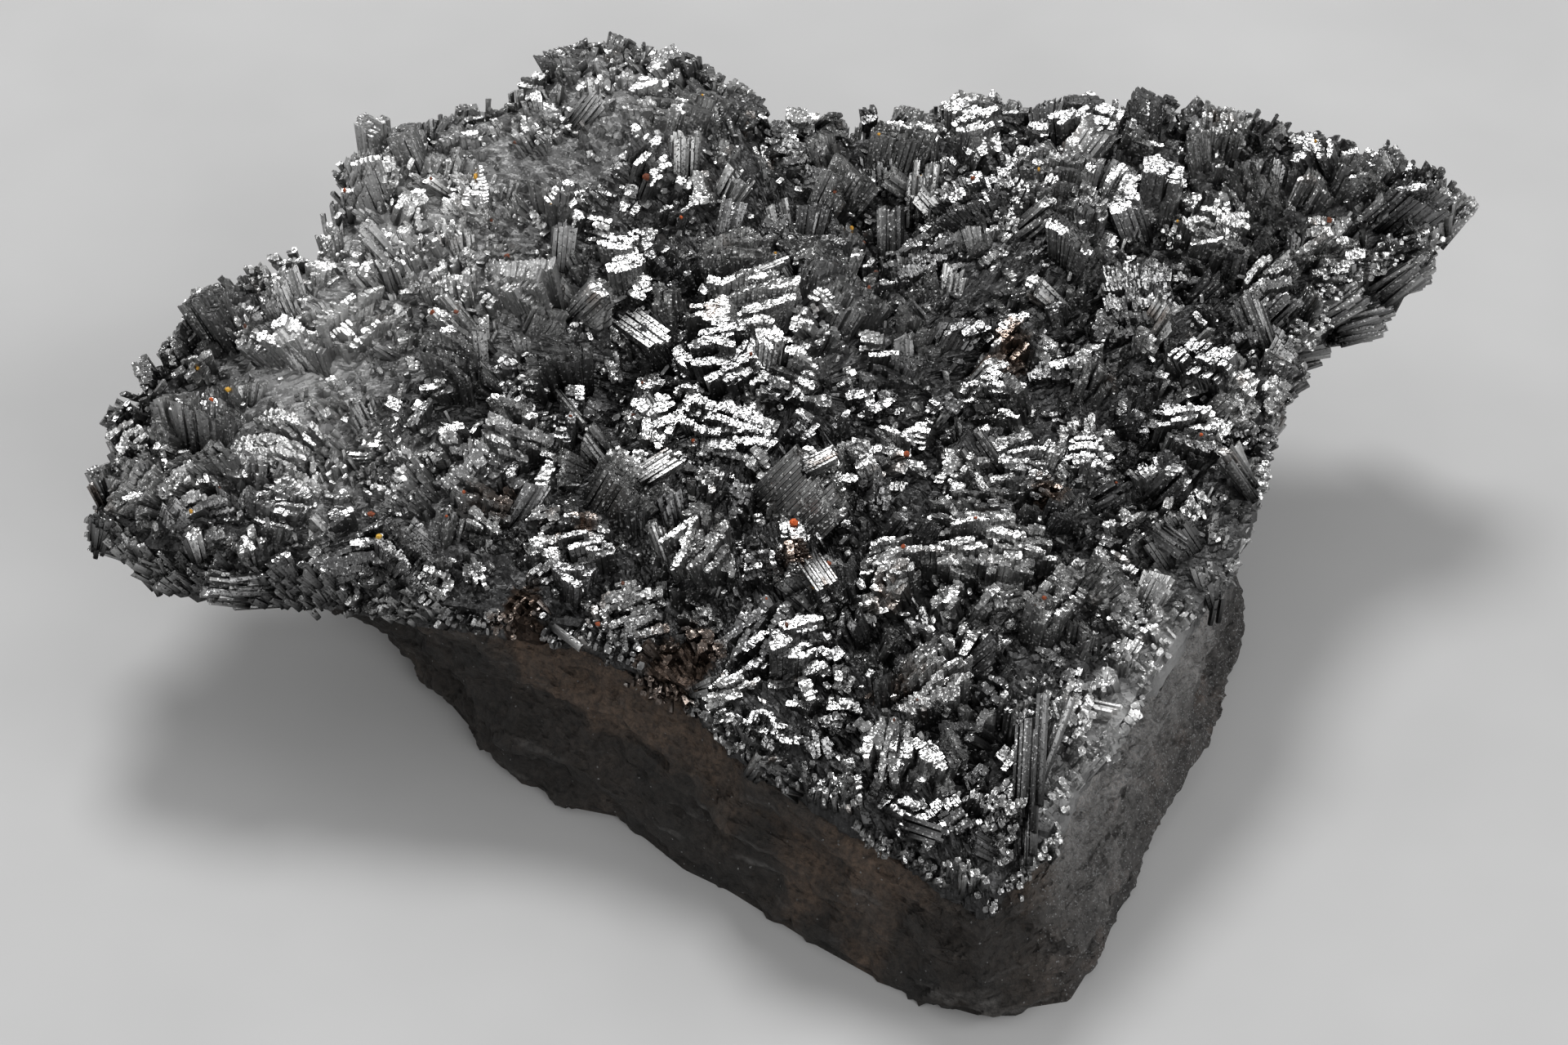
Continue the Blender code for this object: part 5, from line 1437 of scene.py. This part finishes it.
def pebble(rng):
    """One small knobbly grain: the points and faces of a rounded lump."""
    rings = []
    for level in range(1, GRAIN_RINGS):
        polar = math.pi * level / GRAIN_RINGS
        turn = np.linspace(0, 2 * math.pi, GRAIN_AROUND, endpoint=False)
        ring = np.column_stack([np.cos(turn), np.sin(turn)]) * math.sin(polar)
        rings.append(with_height(ring, math.cos(polar)))
    points = np.vstack([[(0, 0, 1)], *rings, [(0, 0, -1)]])
    points = points * rng.uniform(*GRAIN_KNOBBLES, (len(points), 1)) * rng.uniform(*GRAIN_STRETCH, 3)
    faces = []
    for i in range(GRAIN_AROUND):
        j = (i + 1) % GRAIN_AROUND
        faces.append([0, 1 + i, 1 + j])
        for upper in range(1, len(points) - 1 - GRAIN_AROUND, GRAIN_AROUND):
            lower = upper + GRAIN_AROUND
            faces += [[upper + i, lower + i, lower + j], [upper + i, lower + j, upper + j]]
        last = len(points) - 1
        faces.append([last, last - GRAIN_AROUND + j, last - GRAIN_AROUND + i])
    return points, np.array(faces)


def make_grains(outline, rng, surface):
    """Rust, orange and yellow grains that sit on the crystals."""
    spots = list(GRAINS)
    tries = rng.uniform(outline.min(axis=0), outline.max(axis=0), (GRAIN_TRIES, 2))
    for spot in tries[inside(tries, inset(outline, GRAIN_INSET))][:SCATTERED_GRAINS]:
        spots.append((*spot, rng.uniform(*GRAIN_RADIUS), rng.choice(GRAIN_TONES)))
    points, faces, tones = [], [], []
    total = 0
    for x, y, radius, tone in spots:
        lump, triangles = pebble(rng)
        near = surface[np.linalg.norm(surface[:, :2] - (x, y), axis=1) < GRAIN_REACH]
        if not len(near):
            continue
        points.append(lump * radius + near[near[:, 2].argmax()] + (0, 0, radius * GRAIN_PROUD))
        faces.append(triangles + total)
        tones += [tone] * len(lump)
        total += len(lump)
    faces = np.vstack(faces)
    starts = np.arange(len(faces)) * 3
    add_mesh("ochre_grains", np.vstack(points), faces.ravel(), starts, grain_material(), {"tone": tones})


# ---- studio


def face_target(thing, place):
    """Stands a light or the camera at a place, facing the specimen."""
    place, target = Vector(metres(np.array(place))), Vector(metres(CAMERA_TARGET))
    thing.location = place
    thing.rotation_mode = "QUATERNION"
    thing.rotation_quaternion = (target - place).to_track_quat("-Z", "Y")


def add_light(name, place, size, power):
    data = bpy.data.lights.new(name, "AREA")
    data.shape = "DISK"
    data.size = size * MM
    data.energy = power
    face_target(new_object(name, data), place)


def make_floor():
    mesh = bpy.data.meshes.new("studio_floor")
    half = FLOOR_SIZE / 2 * MM
    corners = [(-half, -half, 0), (half, -half, 0), (half, half, 0), (-half, half, 0)]
    mesh.from_pydata(corners, [], [(0, 1, 2, 3)])
    mesh.materials.append(floor_material())
    floor = new_object("studio_floor", mesh)


def make_world():
    world = bpy.data.worlds.new("studio")
    bpy.context.scene.world = world
    world.use_nodes = True
    n = Nodes(world.node_tree)
    height = n.add("SeparateXYZ", {0: n.place("Generated")}).outputs[2]
    background = n.tree.nodes["Background"].inputs
    n.put(background["Color"], n.ramp(height, *WORLD_STOPS))
    n.put(background["Strength"], WORLD_STRENGTH)


def make_camera():
    data = bpy.data.cameras.new("camera")
    data.lens = LENS
    data.sensor_width = SENSOR
    data.clip_start, data.clip_end = CLIP
    camera = new_object("camera", data)
    face_target(camera, CAMERA_AT)
    bpy.context.scene.camera = camera
    bpy.context.scene.view_settings.view_transform = VIEW_TRANSFORM
    bpy.context.scene.view_settings.look = VIEW_LOOK


def main():
    noise.seed_set(SEED)  # broken_relief's tilts would otherwise go by the clock
    outline = divided(CRUST_OUTLINE, OUTLINE_STEP)
    make_rock(outline, np.random.default_rng(SEED))

    # The same draws in the same order as for the solids.
    rng = np.random.default_rng(SEED + 1)
    sheaves = MAIN_SHEAVES + fill_sheaves(outline, rng)
    forms = [sheaf_form(sheaf, rng) for sheaf in sheaves]
    blocks = list(edge_blocks(outline, rng))
    crystal = crystal_material("bladed_crystal", DARK_STEEL, MID_STEEL, PALE_STEEL, 0.2, 0.32)
    ground = crystal_material("crystal_ground", DARK_STEEL, DARK_STEEL, MID_STEEL, 0.35, 0.4)
    make_ground(outline, rng, ground)

    rng = np.random.default_rng(SEED + 2)
    bundles, fans, tufts = [], [], []
    for sheaf, form in zip(sheaves, forms):
        style = style_of(sheaf, form, rng)
        (fans if style is FAN else bundles).append(sheaf_blades(form, rng, style))
    half = len(bundles) // 2
    add_blades("sheaves_first", stacked(bundles[:half]), crystal)
    add_blades("sheaves_second", stacked(bundles[half:]), crystal)
    add_blades("fans", stacked(fans), crystal)

    for sheaf in tuft_sheaves(outline, forms, rng):
        form = sheaf_form(sheaf, rng)
        tufts.append(sheaf_blades(form, rng, style_at(form["tip"], TUFT, rng)))
    third = math.ceil(len(tufts) / 3)
    for number, first in enumerate(range(0, len(tufts), third)):
        add_blades(f"tufts_{number + 1}", stacked(tufts[first : first + third]), crystal)
    add_blades("druse", druse_blades(outline, rng), crystal)
    rim = stacked([*(edge_blades(block, rng) for block in blocks), rim_fibres(outline, rng)])
    add_blades("rim_crystals", rim, crystal)

    surface = np.vstack([group["tip"] for group in [*bundles, *fans, *tufts, rim]])
    add_blades("lone_slabs", stacked(slab_blades(slab, surface, rng) for slab in SLABS), crystal)
    make_grains(outline, rng, surface)

    make_floor()
    make_world()
    for light in LIGHTS:
        add_light(*light)
    make_camera()


main()
